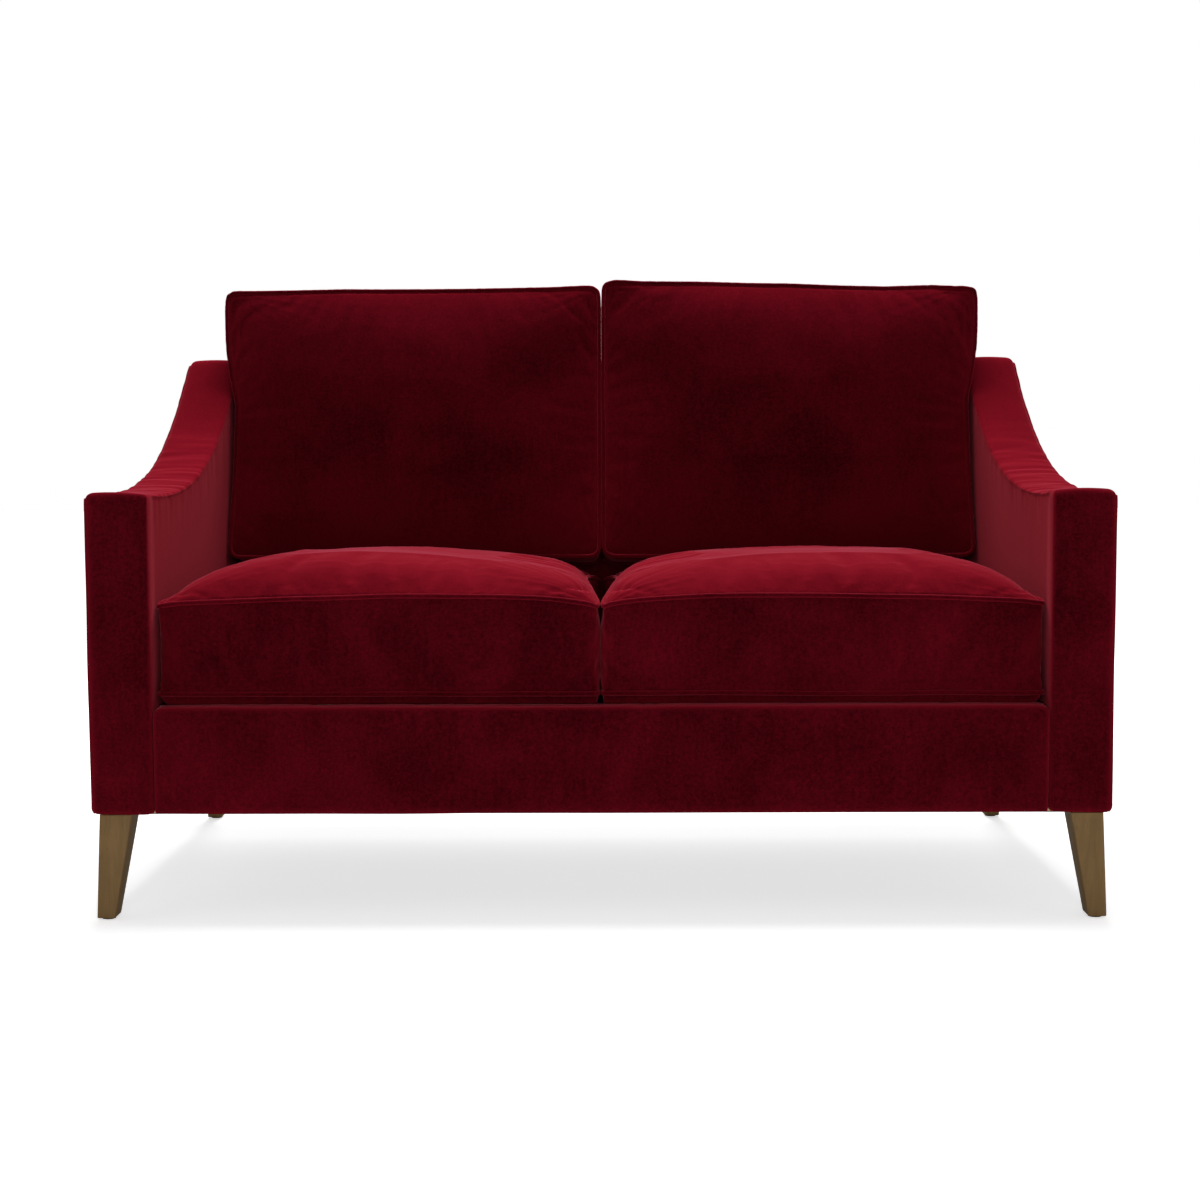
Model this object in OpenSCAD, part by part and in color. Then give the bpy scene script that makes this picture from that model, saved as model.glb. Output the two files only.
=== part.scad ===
// High back settee for two: scoop arms, two loose seat cushions and two loose back cushions.
// Millimetres, +Z up. X runs across, the front faces -Y, and the floor under the middle is the origin.
// Left and right are as seen from the front, so left is -X.

/* [Overall] */
// Width over both arms
overall_w = 1500; // [1300:10:1800]
// Depth from the arm fronts to the top of the outside back
overall_d = 860; // [760:5:980]
// Height of the back frame, and of the arms where they meet it
back_h = 857; // [820:1:900]

/* [Arms] */
// Thickness of an arm
arm_w = 92; // [84:1:120]
// Height of an arm at its front
arm_front_h = 633; // [600:1:680]
// How far the scoop's first handle lies below the arm front
arm_dip = 34; // [10:1:50]
// Length of the level arm top behind the scoop
arm_level_d = 133; // [110:1:150]
// Radius where an arm's front turns into its top
arm_nose_r = 10; // [4:1:16]

/* [Back] */
// Lean of the inside back from upright, in degrees
back_rake = 12; // [9:0.5:13]
// Depth of the back, from its inside at the seat deck to the top of its outside
back_d = 233; // [220:1:245]
// How far the outside back leans out from its foot to its top
outside_back_lean = 60; // [40:1:70]

/* [Seat] */
// Height of the seat deck above the floor
deck_h = 318; // [300:1:340]
// Radius where the front border turns onto the deck
lip_r = 14; // [12:0.5:16]
// Depth of the front border's top, before the deck cloth starts
lip_d = 47; // [46:1:70]

/* [Seat cushions] */
// How far the seat cushions stand back from the arm fronts
seat_setback = 28; // [20:1:40]
// Gap between a seat cushion's lower rear seam and the inside back
seat_rear_gap = 2.5; // [1:0.5:10]
// Height of a seat cushion's border between its seams
seat_border_h = 135; // [110:1:150]
// Rise of the top crown above the top seam
seat_crown_h = 65; // [40:1:80]
// Drop of the belly below the bottom seam
seat_belly_h = 16; // [8:1:24]
// How far the middle of each side is drawn in
seat_drawn_in = 7; // [2:0.5:12]

/* [Back cushions] */
// Length of the left back cushion between its seams, up the rake
back_cushion_left_l = 489; // [460:1:520]
// Length of the right back cushion between its seams, up the rake
back_cushion_right_l = 499; // [460:1:520]
// Thickness of a back cushion's border
back_border_t = 75; // [65:1:85]
// Swell of the front face beyond its seam
back_crown_t = 42; // [25:1:55]
// Swell of the rear face beyond its seam
back_belly_t = 10; // [6:1:16]
// How far the middle of the sides and of the top is drawn in
back_drawn_in = 7; // [2:0.5:12]
// How far the outer top corner spreads above the arm
back_flare = 17; // [0:1:20]

/* [Legs] */
// Height of the upholstered base above the floor
leg_h = 158; // [130:1:180]
// Width of a leg at its top
leg_top_w = 48; // [42:1:56]
// Depth of a leg at its top
leg_top_d = 50; // [42:1:56]
// Width of a leg at its foot
leg_foot_w = 27; // [24:1:34]
// Depth of a leg at its foot
leg_foot_d = 35; // [28:1:40]
// How far a foot stands outside the leg's outer top edge
leg_splay = 7; // [0:1:9]
// How far a rear foot stands behind the leg's rear top edge
rear_leg_kick = 35; // [10:1:40]
// Distance from the arm's outer side to the leg
leg_inset_w = 10; // [8:1:16]
// Distance from the arm's front, or the back's foot, to the leg
leg_inset_d = 10; // [4:1:16]

/* [Upholstery layers] */
// Thickness of the covering fabric
cover_t = 2; // [1:0.1:3]
// Padding on the inside of an arm
arm_inner_pad_t = 12; // [8:0.5:18]
// Padding on the outside of an arm
arm_outer_pad_t = 7; // [4:0.5:10]
// Padding on the arm fronts, arm tops, back top and front border
edge_pad_t = 12; // [8:0.5:14]
// Padding on the inside back
back_pad_t = 30; // [20:1:34]
// Padding of the seat deck
deck_pad_t = 14; // [8:1:18]
// Thickness of the back webbing
web_t = 2; // [1:0.1:3]
// Width of a webbing strap
web_w = 50; // [40:1:60]
// Number of webbing straps
web_count = 8; // [4:1:12]

/* [Timber frame] */
// Thickness of an arm's inner board
inner_board_t = 15; // [12:0.5:18]
// Thickness of an arm's outer board
outer_board_t = 12; // [9:0.5:15]
// Thickness of the rails
rail_t = 28; // [22:1:32]
// Height of the back's tuck rail
tuck_rail_h = 50; // [40:1:60]
// Depth of an arm's front post
front_post_d = 32; // [28:1:45]
// Depth of a rear post
rear_post_d = 45; // [35:1:55]
// Height of the blocks that take the legs
leg_block_h = 45; // [40:1:55]
// Length of those blocks, front to back
leg_block_d = 62; // [58:1:75]
// Gap between the springs and the centre rail
centre_rail_drop = 40; // [30:1:60]

/* [Springs and fixings] */
// Radius of the spring wire
wire_r = 1.9; // [1.5:0.1:2.2]
// Number of zigzag springs
spring_count = 8; // [4:1:10]
// Bends in one spring
spring_bends = 12; // [8:2:16]
// Straight stretch between two bends
spring_straight = 30; // [24:1:40]
// Height of a spring clip
clip_h = 6; // [5:0.5:8]
// Width of a spring clip
clip_w = 20; // [14:1:22]
// Depth of a spring clip
clip_d = 16; // [12:1:20]
// Radius of a leg bolt
bolt_r = 4; // [3:0.5:5]
// Length of a leg bolt
bolt_l = 76; // [60:1:78]
// Outer radius of the threaded insert that takes a leg bolt
insert_r = 6; // [5.6:0.1:8]
// Length of that insert
insert_l = 25; // [15:1:30]
// Radius of a frame dowel
dowel_r = 5; // [4:0.5:6]
// Length of a frame dowel
dowel_l = 44; // [30:1:50]
// Radius of a foot glide
glide_r = 10; // [7:0.5:11]
// Thickness of a foot glide
glide_t = 3; // [2:0.5:5]
// Radius of a foot glide's pin
glide_pin_r = 1.5; // [1:0.1:2]
// Length of a foot glide's pin
glide_pin_l = 14; // [8:1:20]

/* [Zips] */
// Length of a cushion's zip
zip_l = 520; // [400:5:560]
// Width of a zip's tape
zip_tape_w = 24; // [18:1:30]
// Thickness of a zip's tape
zip_tape_t = 1.5; // [1:0.1:2]
// Width of the zip's teeth
zip_teeth_w = 4; // [3:0.5:5]
// Height of the zip's teeth
zip_teeth_t = 1.6; // [1:0.1:2]
// Length of the slider
slider_l = 12; // [8:1:16]
// Width of the slider
slider_w = 9; // [7:0.5:12]
// Thickness of the slider's plates
slider_t = 1.2; // [0.8:0.1:1.5]
// Length of the slider's pull
pull_l = 22; // [15:1:30]
// Width of the slider's pull
pull_w = 5; // [4:0.5:7]

/* [Hidden] */

// Colours
VELVET = [0.45, 0.03, 0.09];
TIMBER = [0.78, 0.64, 0.45];
STAINED = [0.40, 0.31, 0.20];
FOAM = [0.93, 0.90, 0.80];
STEEL = [0.62, 0.63, 0.65];
BLACK = [0.10, 0.10, 0.11];
WEB = [0.55, 0.50, 0.42];

// Clearances, and the overrun of every cut
rest_gap = 0.3;
cushion_gap = 0.5;
lay_gap = 0.05;
bolt_gap = 0.2;
dowel_gap = 0.1;
wire_gap = 0.3;
slider_gap = 0.3;
over = 5;
$fn = 48;

// Shapes of the scoop and of the cushions
scoop_steps = 26;
nose_steps = 5;
scoop_start_share = 0.59;
scoop_end_share = 0.82;
scoop_rise_share = 0.52;
cushion_steps_across = 20;
cushion_steps_along = 16;
border_steps = 4;
seat_front_power = 6;
seat_rear_power = 4;
seat_side_power = 5;
back_power = 4;
core_width_share = 0.86;
core_length_share = 0.82;
core_height_share = 0.92;
dowel_shares = [0.25, 0.75];
bend_steps = 4;
wire_sides = 6;

// Planes and heights that the pieces share
y_front = -overall_d / 2;
x_out = overall_w / 2;
x_in = x_out - arm_w;
x_board = x_in + cover_t + arm_inner_pad_t;
x_cavity = x_board + inner_board_t;
x_outer_board = x_out - cover_t - arm_outer_pad_t - outer_board_t;
edge_t = cover_t + edge_pad_t;
y_frame = y_front + edge_t;
z_frame = leg_h + cover_t;
wire_h = deck_h - cover_t - deck_pad_t;
rail_top_h = wire_h - clip_h;
scoop_l = overall_d - arm_level_d;
back_layers_t = cover_t + back_pad_t;
x_bolt = x_out - leg_inset_w - leg_top_w / 2 - cover_t;
y_front_bolt = y_front + leg_inset_d + leg_top_d / 2;
y_rear_bolt = outside_y(leg_h) - leg_inset_d - leg_top_d / 2;

// The outside back's plane, and the inside back's, at a height
function outside_y(z) = y_front + overall_d - outside_back_lean * (back_h - z) / (back_h - leg_h);
function inside_y(z) = y_front + overall_d - back_d + (z - deck_h) * tan(back_rake);
function rail_y(z) = inside_y(z) + back_layers_t + web_t;

// A cubic curve through its first and last points, and its direction
function curve(p, t) =
    pow(1 - t, 3) * p[0] + 3 * pow(1 - t, 2) * t * p[1] + 3 * (1 - t) * t * t * p[2] + t * t * t * p[3];
function heading(p, t) =
    3 * pow(1 - t, 2) * (p[1] - p[0]) + 6 * (1 - t) * t * (p[2] - p[1]) + 3 * t * t * (p[3] - p[2]);
function bend(a, b, c, t) = (1 - t) * (1 - t) * a + 2 * (1 - t) * t * b + t * t * c;

// The scoop of the arm's top, from the front end to the level stretch at the back
scoop = [
    [y_front, arm_front_h],
    [y_front + scoop_start_share * scoop_l, arm_front_h - arm_dip],
    [y_front + scoop_end_share * scoop_l, arm_front_h + scoop_rise_share * (back_h - arm_front_h)],
    [y_front + scoop_l, back_h]
];

// A point of the scoop, moved square to the curve into the arm
function scoop_point(t, inset) =
    let (p = curve(scoop, t), h = heading(scoop, t), q = p + inset * [h[1], -h[0]] / norm(h))
    [max(q[0], y_front + inset), min(q[1], back_h - inset)];

// The arm seen from the side: front, nose, scoop and level top, inset from the outer surface
function arm_top_line(inset) =
    let (
        low = [y_front + inset, scoop_point(0, inset)[1] - arm_nose_r],
        corner = [y_front + inset, scoop_point(0, inset)[1]],
        first = scoop_point(1 / scoop_steps, inset)
    )
    concat(
        [for (i = [0:nose_steps]) bend(low, corner, first, i / nose_steps)],
        [for (i = [2:scoop_steps]) scoop_point(i / scoop_steps, inset)]
    );
function arm_side(inset, rear_inset, z_low) = concat(
    [[y_front + inset, z_low]],
    arm_top_line(inset),
    [[outside_y(back_h - inset) - rear_inset, back_h - inset], [outside_y(z_low) - rear_inset, z_low]]
);

// The space beside the seat box and behind the inside back, which the arm's inner layers leave free
function frame_side(z_low, z_high) = [
    [y_frame, z_low],
    [y_frame, rail_top_h],
    [inside_y(rail_top_h) + back_layers_t, rail_top_h],
    [inside_y(z_high) + back_layers_t, z_high],
    [outside_y(z_high) + over, z_high],
    [outside_y(z_low) + over, z_low]
];

// A layer that leans with the inside back, and one that leans with the outside back
function inside_layer(from, to, z_low, z_high) = [
    [inside_y(z_low) + from, z_low],
    [inside_y(z_high) + from, z_high],
    [inside_y(z_high) + to, z_high],
    [inside_y(z_low) + to, z_low]
];
function outside_layer(from, to, z_low, z_high) = [
    [outside_y(z_low) - from, z_low],
    [outside_y(z_high) - from, z_high],
    [outside_y(z_high) - to, z_high],
    [outside_y(z_low) - to, z_low]
];

// The front border's front and rounded lip, inset from the outer surface
function lip_line(inset, z_low) = concat(
    [[y_front + inset, z_low]],
    [
        for (i = [0:nose_steps])
            let (a = 180 - 90 * i / nose_steps)
            [y_front + lip_r + (lip_r - inset) * cos(a), deck_h - lip_r + (lip_r - inset) * sin(a)]
    ],
    [[y_front + lip_d, deck_h - inset]]
);

// Extrudes an outline drawn in Y and Z along X
module across(x_low, x_high, points) {
    translate([x_low, 0, 0])
        rotate([90, 0, 90])
            linear_extrude(x_high - x_low)
                polygon(points);
}

// A box between two corners
module block(low, high) {
    translate(low)
        cube(high - low);
}

// Draws a right-hand piece, or its mirror image on the left
module on_side(side) {
    if (side > 0) children();
    else mirror([1, 0, 0]) children();
}

// Draws a piece on both sides, and a piece at all four legs
module both_sides() {
    for (side = [-1, 1]) on_side(side) children();
}
module at_leg_bolts() {
    both_sides()
        for (y = [y_front_bolt, y_rear_bolt])
            translate([x_bolt, y, 0]) children();
}

// Dowels between the rails' ends and the right-hand inner board
rear_rail_y = outside_y((z_frame + rail_top_h) / 2) - cover_t - rail_t / 2;
top_rail_low_h = back_h - edge_t - rail_t;
dowel_places = concat(
    [for (s = dowel_shares) [y_frame + rail_t / 2, z_frame + s * (rail_top_h - z_frame)]],
    [for (s = dowel_shares) [rear_rail_y, z_frame + s * (rail_top_h - z_frame)]],
    [for (s = dowel_shares)
        let (z = top_rail_low_h + rail_t / 2)
        [rail_y(z) + s * (outside_y(z) - cover_t - rail_y(z)), z]],
    [for (s = dowel_shares) let (z = deck_h + s * tuck_rail_h) [rail_y(z) + rail_t / 2, z]]
);
// Each dowel stops short of the cavity, so that it stays inside the board
dowel_tip_t = inner_board_t / 5;
module dowels(gap) {
    both_sides()
        for (p = dowel_places)
            translate([x_cavity - dowel_tip_t - dowel_l - gap, p[0], p[1]])
                rotate([0, 90, 0])
                    cylinder(r = dowel_r + gap, h = dowel_l + 2 * gap);
}

// Seat box
module front_seat_rail() {
    color(TIMBER)
        difference() {
            block([-x_board, y_frame, z_frame], [x_board, y_frame + rail_t, rail_top_h]);
            dowels(dowel_gap);
        }
}
module rear_seat_rail() {
    color(TIMBER)
        difference() {
            across(-x_board, x_board, outside_layer(cover_t + rail_t, cover_t, z_frame, rail_top_h));
            dowels(dowel_gap);
        }
}
module side_seat_rail(side) {
    color(TIMBER)
        on_side(side)
            across(x_board - rail_t, x_board, seat_box_side(z_frame, rail_top_h));
}
module centre_seat_rail() {
    color(TIMBER)
        across(-rail_t / 2, rail_t / 2, seat_box_side(z_frame, rail_top_h - centre_rail_drop));
}
// From the front rail's rear face to the rear rail's front face
function seat_box_side(z_low, z_high) = [
    [y_frame + rail_t, z_low],
    [y_frame + rail_t, z_high],
    [outside_y(z_high) - cover_t - rail_t, z_high],
    [outside_y(z_low) - cover_t - rail_t, z_low]
];
module leg_blocks() {
    color(TIMBER)
        difference() {
            both_sides() {
                block(
                    [x_cavity, y_frame, z_frame],
                    [x_outer_board, y_frame + leg_block_d, z_frame + leg_block_h]
                );
                across(
                    x_cavity,
                    x_outer_board,
                    outside_layer(cover_t + leg_block_d, cover_t, z_frame, z_frame + leg_block_h)
                );
            }
            at_leg_bolts()
                translate([0, 0, z_frame - over]) {
                    cylinder(r = insert_r + bolt_gap, h = insert_l + over);
                    cylinder(r = bolt_r + bolt_gap, h = bolt_top_h - z_frame + over + bolt_gap);
                }
        }
}

// Arm frames and back frame
module arm_inner_board(side) {
    color(TIMBER)
        difference() {
            on_side(side)
                across(x_board, x_cavity, arm_side(edge_t, cover_t, z_frame));
            dowels(dowel_gap);
        }
}
module arm_outer_board(side) {
    color(TIMBER)
        on_side(side)
            across(x_outer_board, x_outer_board + outer_board_t, arm_side(edge_t, cover_t, z_frame));
}
module arm_front_post(side) {
    color(TIMBER)
        on_side(side)
            intersection() {
                across(x_cavity, x_outer_board, arm_side(edge_t, cover_t, z_frame));
                block(
                    [x_cavity, y_frame, z_frame + leg_block_h],
                    [x_outer_board, y_frame + front_post_d, back_h]
                );
            }
}
module rear_post(side) {
    color(TIMBER)
        on_side(side)
            across(
                x_cavity,
                x_outer_board,
                outside_layer(cover_t + rear_post_d, cover_t, z_frame + leg_block_h, back_h - edge_t)
            );
}
module back_top_rail() {
    z_low = top_rail_low_h;
    z_high = back_h - edge_t;
    color(TIMBER)
        difference() {
            across(-x_board, x_board, [
                [rail_y(z_low), z_low],
                [rail_y(z_high), z_high],
                [outside_y(z_high) - cover_t, z_high],
                [outside_y(z_low) - cover_t, z_low]
            ]);
            dowels(dowel_gap);
        }
}
module back_tuck_rail() {
    color(TIMBER)
        difference() {
            across(-x_board, x_board, inside_layer(
                back_layers_t + web_t, back_layers_t + web_t + rail_t, deck_h, deck_h + tuck_rail_h
            ));
            dowels(dowel_gap);
        }
}
module back_centre_stile() {
    color(TIMBER)
        across(-rail_t, rail_t, inside_layer(
            back_layers_t + web_t, back_layers_t + web_t + rail_t, deck_h + tuck_rail_h, top_rail_low_h
        ));
}
module frame_dowels() {
    color(TIMBER)
        dowels(0);
}

// Zigzag springs from the front rail to the rear rail, each with a bar in a clip at both ends
y_spring_start = y_frame + rail_t / 2;
y_spring_end = outside_y(rail_top_h) - cover_t - rail_t / 2;
spring_bend_r = (y_spring_end - y_spring_start) / spring_bends / 2;
spring_space = 2 * (x_board - rail_t) / spring_count;
spring_z = rail_top_h + clip_h / 2;
function spring_x(i) = (i - (spring_count - 1) / 2) * spring_space;
module bar_x(r, l) {
    rotate([0, 90, 0])
        cylinder(r = r, h = l, center = true);
}
// Rings along the wire: across a bar, then round a bend to the next bar, in turn on either side.
// Each is its place and the wire's heading there.
function spring_rings() = concat(
    [[[-spring_straight / 2, 0], 0]],
    [
        for (k = [0:spring_bends - 1], i = [0:bend_steps])
            let (side = k % 2 == 0 ? 1 : -1, a = 180 * i / bend_steps)
            [
                [
                    side * (spring_straight / 2 + spring_bend_r * sin(a)),
                    (2 * k + 1) * spring_bend_r - spring_bend_r * cos(a)
                ],
                side > 0 ? a : 180 - a
            ]
    ],
    [[[(spring_bends % 2 == 0 ? 1 : -1) * spring_straight / 2, 2 * spring_bends * spring_bend_r],
        spring_bends % 2 == 0 ? 0 : 180]]
);
module zigzag() {
    rings = spring_rings();
    last = len(rings) - 1;
    points = [
        for (r = rings, s = [0:wire_sides - 1])
            let (a = 360 * s / wire_sides)
            [
                r[0][0] - wire_r * cos(a) * sin(r[1]),
                r[0][1] + wire_r * cos(a) * cos(r[1]),
                wire_r * sin(a)
            ]
    ];
    faces = concat(
        [[for (s = [0:wire_sides - 1]) s]],
        [
            for (k = [0:last - 1], s = [0:wire_sides - 1])
                let (a = k * wire_sides, b = a + wire_sides, t = (s + 1) % wire_sides)
                [a + t, a + s, b + s, b + t]
        ],
        [[for (s = [0:wire_sides - 1]) last * wire_sides + wire_sides - 1 - s]]
    );
    polyhedron(points = points, faces = faces);
}
module seat_springs() {
    color(STEEL)
        for (i = [0:spring_count - 1])
            translate([spring_x(i), y_spring_start, spring_z]) zigzag();
}
module spring_clips() {
    color(BLACK)
        for (i = [0:spring_count - 1], y = [y_spring_start, y_spring_end])
            translate([spring_x(i), y, spring_z])
                difference() {
                    cube([clip_w, clip_d, clip_h], center = true);
                    bar_x(wire_r + wire_gap, clip_w + over);
                }
}

// Webbing, padding and covers of the seat deck and the back
module back_webbing() {
    space = 2 * x_in / web_count;
    color(WEB)
        for (i = [0:web_count - 1])
            let (x = (i - (web_count - 1) / 2) * space)
                across(x - web_w / 2, x + web_w / 2, inside_layer(
                    back_layers_t, back_layers_t + web_t, deck_h, back_h - edge_t
                ));
}
module seat_deck_pad() {
    color(FOAM)
        across(-x_in, x_in, [
            [y_front + lip_d, wire_h],
            [y_front + lip_d, deck_h - cover_t],
            [inside_y(deck_h) + back_layers_t, deck_h - cover_t],
            [inside_y(deck_h) + back_layers_t, wire_h]
        ]);
}
module seat_deck_cover() {
    color(VELVET)
        across(-x_in, x_in, [
            [y_front + lip_d, deck_h - cover_t],
            [y_front + lip_d, deck_h],
            [inside_y(deck_h) + back_layers_t, deck_h],
            [inside_y(deck_h) + back_layers_t, deck_h - cover_t]
        ]);
}
module back_pad() {
    z_top = back_h - cover_t;
    z_low = back_h - edge_t;
    color(FOAM)
        across(-x_in, x_in, [
            [inside_y(deck_h) + cover_t, deck_h],
            [inside_y(z_top) + cover_t, z_top],
            [outside_y(z_top) - cover_t, z_top],
            [outside_y(z_low) - cover_t, z_low],
            [inside_y(z_low) + back_layers_t, z_low],
            [inside_y(deck_h) + back_layers_t, deck_h]
        ]);
}
module inside_back_cover() {
    z_low = back_h - cover_t;
    color(VELVET)
        across(-x_in, x_in, [
            [inside_y(deck_h), deck_h],
            [inside_y(back_h), back_h],
            [outside_y(back_h) - cover_t, back_h],
            [outside_y(z_low) - cover_t, z_low],
            [inside_y(z_low) + cover_t, z_low],
            [inside_y(deck_h) + cover_t, deck_h]
        ]);
}
module outside_back_cover() {
    color(VELVET)
        across(-x_out, x_out, outside_layer(cover_t - lay_gap, 0, leg_h, back_h));
}

// Arm upholstery: one wrap of padding, then the inside, outside and border covers
module arm_pad(side) {
    z_low = z_frame - over;
    color(FOAM)
        on_side(side)
            difference() {
                across(x_in + cover_t, x_out - cover_t, arm_side(cover_t, cover_t, z_frame));
                across(
                    x_board,
                    x_outer_board + outer_board_t,
                    arm_side(edge_t, -over, z_low)
                );
                across(x_in, x_board + over, frame_side(z_low, back_h - edge_t));
            }
}
module inside_arm_cover(side) {
    color(VELVET)
        on_side(side)
            difference() {
                across(x_in, x_in + cover_t, arm_side(cover_t, cover_t, z_frame));
                across(x_in - over, x_in + cover_t + over, frame_side(z_frame - over, back_h - edge_t));
            }
}
module outside_arm_cover(side) {
    color(VELVET)
        on_side(side)
            across(x_out - cover_t, x_out, arm_side(cover_t, cover_t, leg_h));
}
module arm_border(side) {
    color(VELVET)
        on_side(side)
            difference() {
                across(x_in, x_out, arm_side(0, cover_t, leg_h));
                across(x_in - over, x_out + over, arm_side(cover_t, -over, leg_h - over));
            }
}

// Front border and underside
module front_border_pad() {
    color(FOAM)
        across(-x_in, x_in, concat(
            lip_line(cover_t, z_frame),
            [[y_front + lip_d, wire_h], [y_frame, wire_h], [y_frame, z_frame]]
        ));
}
module front_border_cover() {
    inner = lip_line(cover_t, leg_h);
    last = len(inner) - 1;
    color(VELVET)
        across(-x_in, x_in, concat(lip_line(0, leg_h), [for (i = [0:last]) inner[last - i]]));
}
module dust_cover() {
    color(BLACK)
        difference() {
            across(-x_out + cover_t, x_out - cover_t, [
                [y_front + cover_t, leg_h],
                [y_front + cover_t, z_frame],
                [outside_y(z_frame) - cover_t, z_frame],
                [outside_y(leg_h) - cover_t, leg_h]
            ]);
            at_leg_bolts()
                translate([0, 0, leg_h - over])
                    cylinder(r = bolt_r + bolt_gap, h = cover_t + 2 * over);
        }
}

// Legs: tapered both ways, splayed outwards, the rear pair also kicked back
bolt_top_h = leg_h + bolt_l / 2;
x_leg = x_out - leg_inset_w;
y_leg = [y_front + leg_inset_d, outside_y(leg_h) - leg_inset_d - leg_top_d];
y_foot = [y_leg[0], y_leg[1] + leg_top_d + rear_leg_kick - leg_foot_d];
x_glide = x_leg + leg_splay - leg_foot_w / 2;
module leg(side, row) {
    color(STAINED)
        on_side(side)
            difference() {
                intersection() {
                    translate([0, y_leg[row] + leg_top_d + rear_leg_kick, 0])
                        rotate([90, 0, 0])
                            linear_extrude(2 * (leg_top_d + rear_leg_kick))
                                polygon([
                                    [x_leg + leg_splay - leg_foot_w, glide_t],
                                    [x_leg + leg_splay, glide_t],
                                    [x_leg, leg_h],
                                    [x_leg - leg_top_w, leg_h]
                                ]);
                    across(x_leg - leg_top_w - over, x_leg + leg_splay + over, [
                        [y_foot[row], glide_t],
                        [y_leg[row], leg_h],
                        [y_leg[row] + leg_top_d, leg_h],
                        [y_foot[row] + leg_foot_d, glide_t]
                    ]);
                }
                translate([x_bolt, row == 0 ? y_front_bolt : y_rear_bolt, leg_h - bolt_l / 2 - bolt_gap])
                    cylinder(r = bolt_r + bolt_gap, h = bolt_l);
                translate([x_glide, y_foot[row] + leg_foot_d / 2, 0])
                    cylinder(r = glide_pin_r + dowel_gap, h = glide_t + glide_pin_l + dowel_gap);
            }
}
module leg_bolts() {
    color(STEEL)
        at_leg_bolts()
            translate([0, 0, leg_h - bolt_l / 2]) cylinder(r = bolt_r, h = bolt_l);
}
module leg_insert_nuts() {
    color(STEEL)
        at_leg_bolts()
            translate([0, 0, z_frame])
                difference() {
                    cylinder(r = insert_r, h = insert_l);
                    translate([0, 0, -over]) cylinder(r = bolt_r + bolt_gap, h = insert_l + 2 * over);
                }
}
module foot_glides() {
    color(BLACK)
        both_sides()
            for (row = [0, 1])
                translate([x_glide, y_foot[row] + leg_foot_d / 2, 0]) {
                    cylinder(r = glide_r, h = glide_t);
                    cylinder(r = glide_pin_r, h = glide_t + glide_pin_l);
                }
}

// Cushion forms. A form is described across by u and along by v, both from -1 to 1, with its seams
// in a plane. Its list holds: half width, half length, border height, top crown, bottom crown,
// drawn-in side, drawn-in low end, drawn-in high end, flare, the powers of the crown's fall
// towards the side, the low end and the high end, and the v from which the flare spreads.
function steps(n) = [for (i = [0:n]) sin(90 * (2 * i / n - 1))];
function flare_at(f, u, v) = v > f[12] ? f[8] * (v - f[12]) / (1 - f[12]) * (1 + u) / 2 : 0;
function seam_x(f, u, v) = u * (f[0] - f[5] * (1 - v * v)) + flare_at(f, u, v);
function seam_y(f, u, v) = v * (f[1] - (v < 0 ? f[6] : f[7]) * (1 - u * u));
function crown_share(f, u, v) =
    (1 - pow(abs(u), f[9])) * (1 - pow(abs(v), v < 0 ? f[10] : f[11]));
function top_point(f, u, v) = [seam_x(f, u, v), seam_y(f, u, v), f[2] / 2 + f[3] * crown_share(f, u, v)];
function bottom_point(f, u, v) =
    [seam_x(f, u, v), seam_y(f, u, v), -f[2] / 2 - f[4] * crown_share(f, u, v)];
// A border point at a share w of the way down: the side swells back to where it was drawn in from
function border_point(f, u, v, w) =
    let (
        swell = 4 * w * (1 - w),
        side = abs(u) == 1 ? sign(u) * f[5] * (1 - v * v) : 0,
        end = abs(v) == 1 ? sign(v) * (v < 0 ? f[6] : f[7]) * (1 - u * u) : 0
    )
    [seam_x(f, u, v) + side * swell, seam_y(f, u, v) + end * swell, f[2] * (1 / 2 - w)];

// The way round a grid's edge, anticlockwise from its low corner, as pairs of steps
function edge_walk(nu, nv) = concat(
    [for (i = [0:nu - 1]) [i, 0]],
    [for (j = [0:nv - 1]) [nu, j]],
    [for (i = [0:nu - 1]) [nu - i, nv]],
    [for (j = [0:nv - 1]) [0, nv - j]]
);

module cushion_form(f) {
    nu = cushion_steps_across;
    nv = cushion_steps_along;
    us = steps(nu);
    vs = steps(nv);
    walk = edge_walk(nu, nv);
    round_n = len(walk);
    grid_n = (nu + 1) * (nv + 1);
    points = concat(
        [for (j = [0:nv], i = [0:nu]) top_point(f, us[i], vs[j])],
        [for (j = [0:nv], i = [0:nu]) bottom_point(f, us[i], vs[j])],
        [
            for (k = [1:border_steps - 1], p = walk)
                border_point(f, us[p[0]], vs[p[1]], k / border_steps)
        ]
    );
    // Ring k of the border: ring 0 is the top seam and the last ring the bottom seam
    function ring(k, n) =
        let (p = walk[n % round_n], at = p[1] * (nu + 1) + p[0])
        k == 0 ? at : k == border_steps ? grid_n + at : 2 * grid_n + (k - 1) * round_n + n % round_n;
    faces = concat(
        [
            for (j = [0:nv - 1], i = [0:nu - 1], half = [0, 1])
                let (a = j * (nu + 1) + i, b = a + 1, c = a + nu + 2, d = a + nu + 1)
                half == 0 ? [a, c, b] : [a, d, c]
        ],
        [
            for (j = [0:nv - 1], i = [0:nu - 1], half = [0, 1])
                let (a = grid_n + j * (nu + 1) + i, b = a + 1, c = a + nu + 2, d = a + nu + 1)
                half == 0 ? [a, b, c] : [a, c, d]
        ],
        [
            for (k = [0:border_steps - 1], n = [0:round_n - 1], half = [0, 1])
                let (a = ring(k, n), b = ring(k, n + 1), c = ring(k + 1, n + 1), d = ring(k + 1, n))
                half == 0 ? [a, b, c] : [a, c, d]
        ]
    );
    polyhedron(points = points, faces = faces);
}

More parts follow.
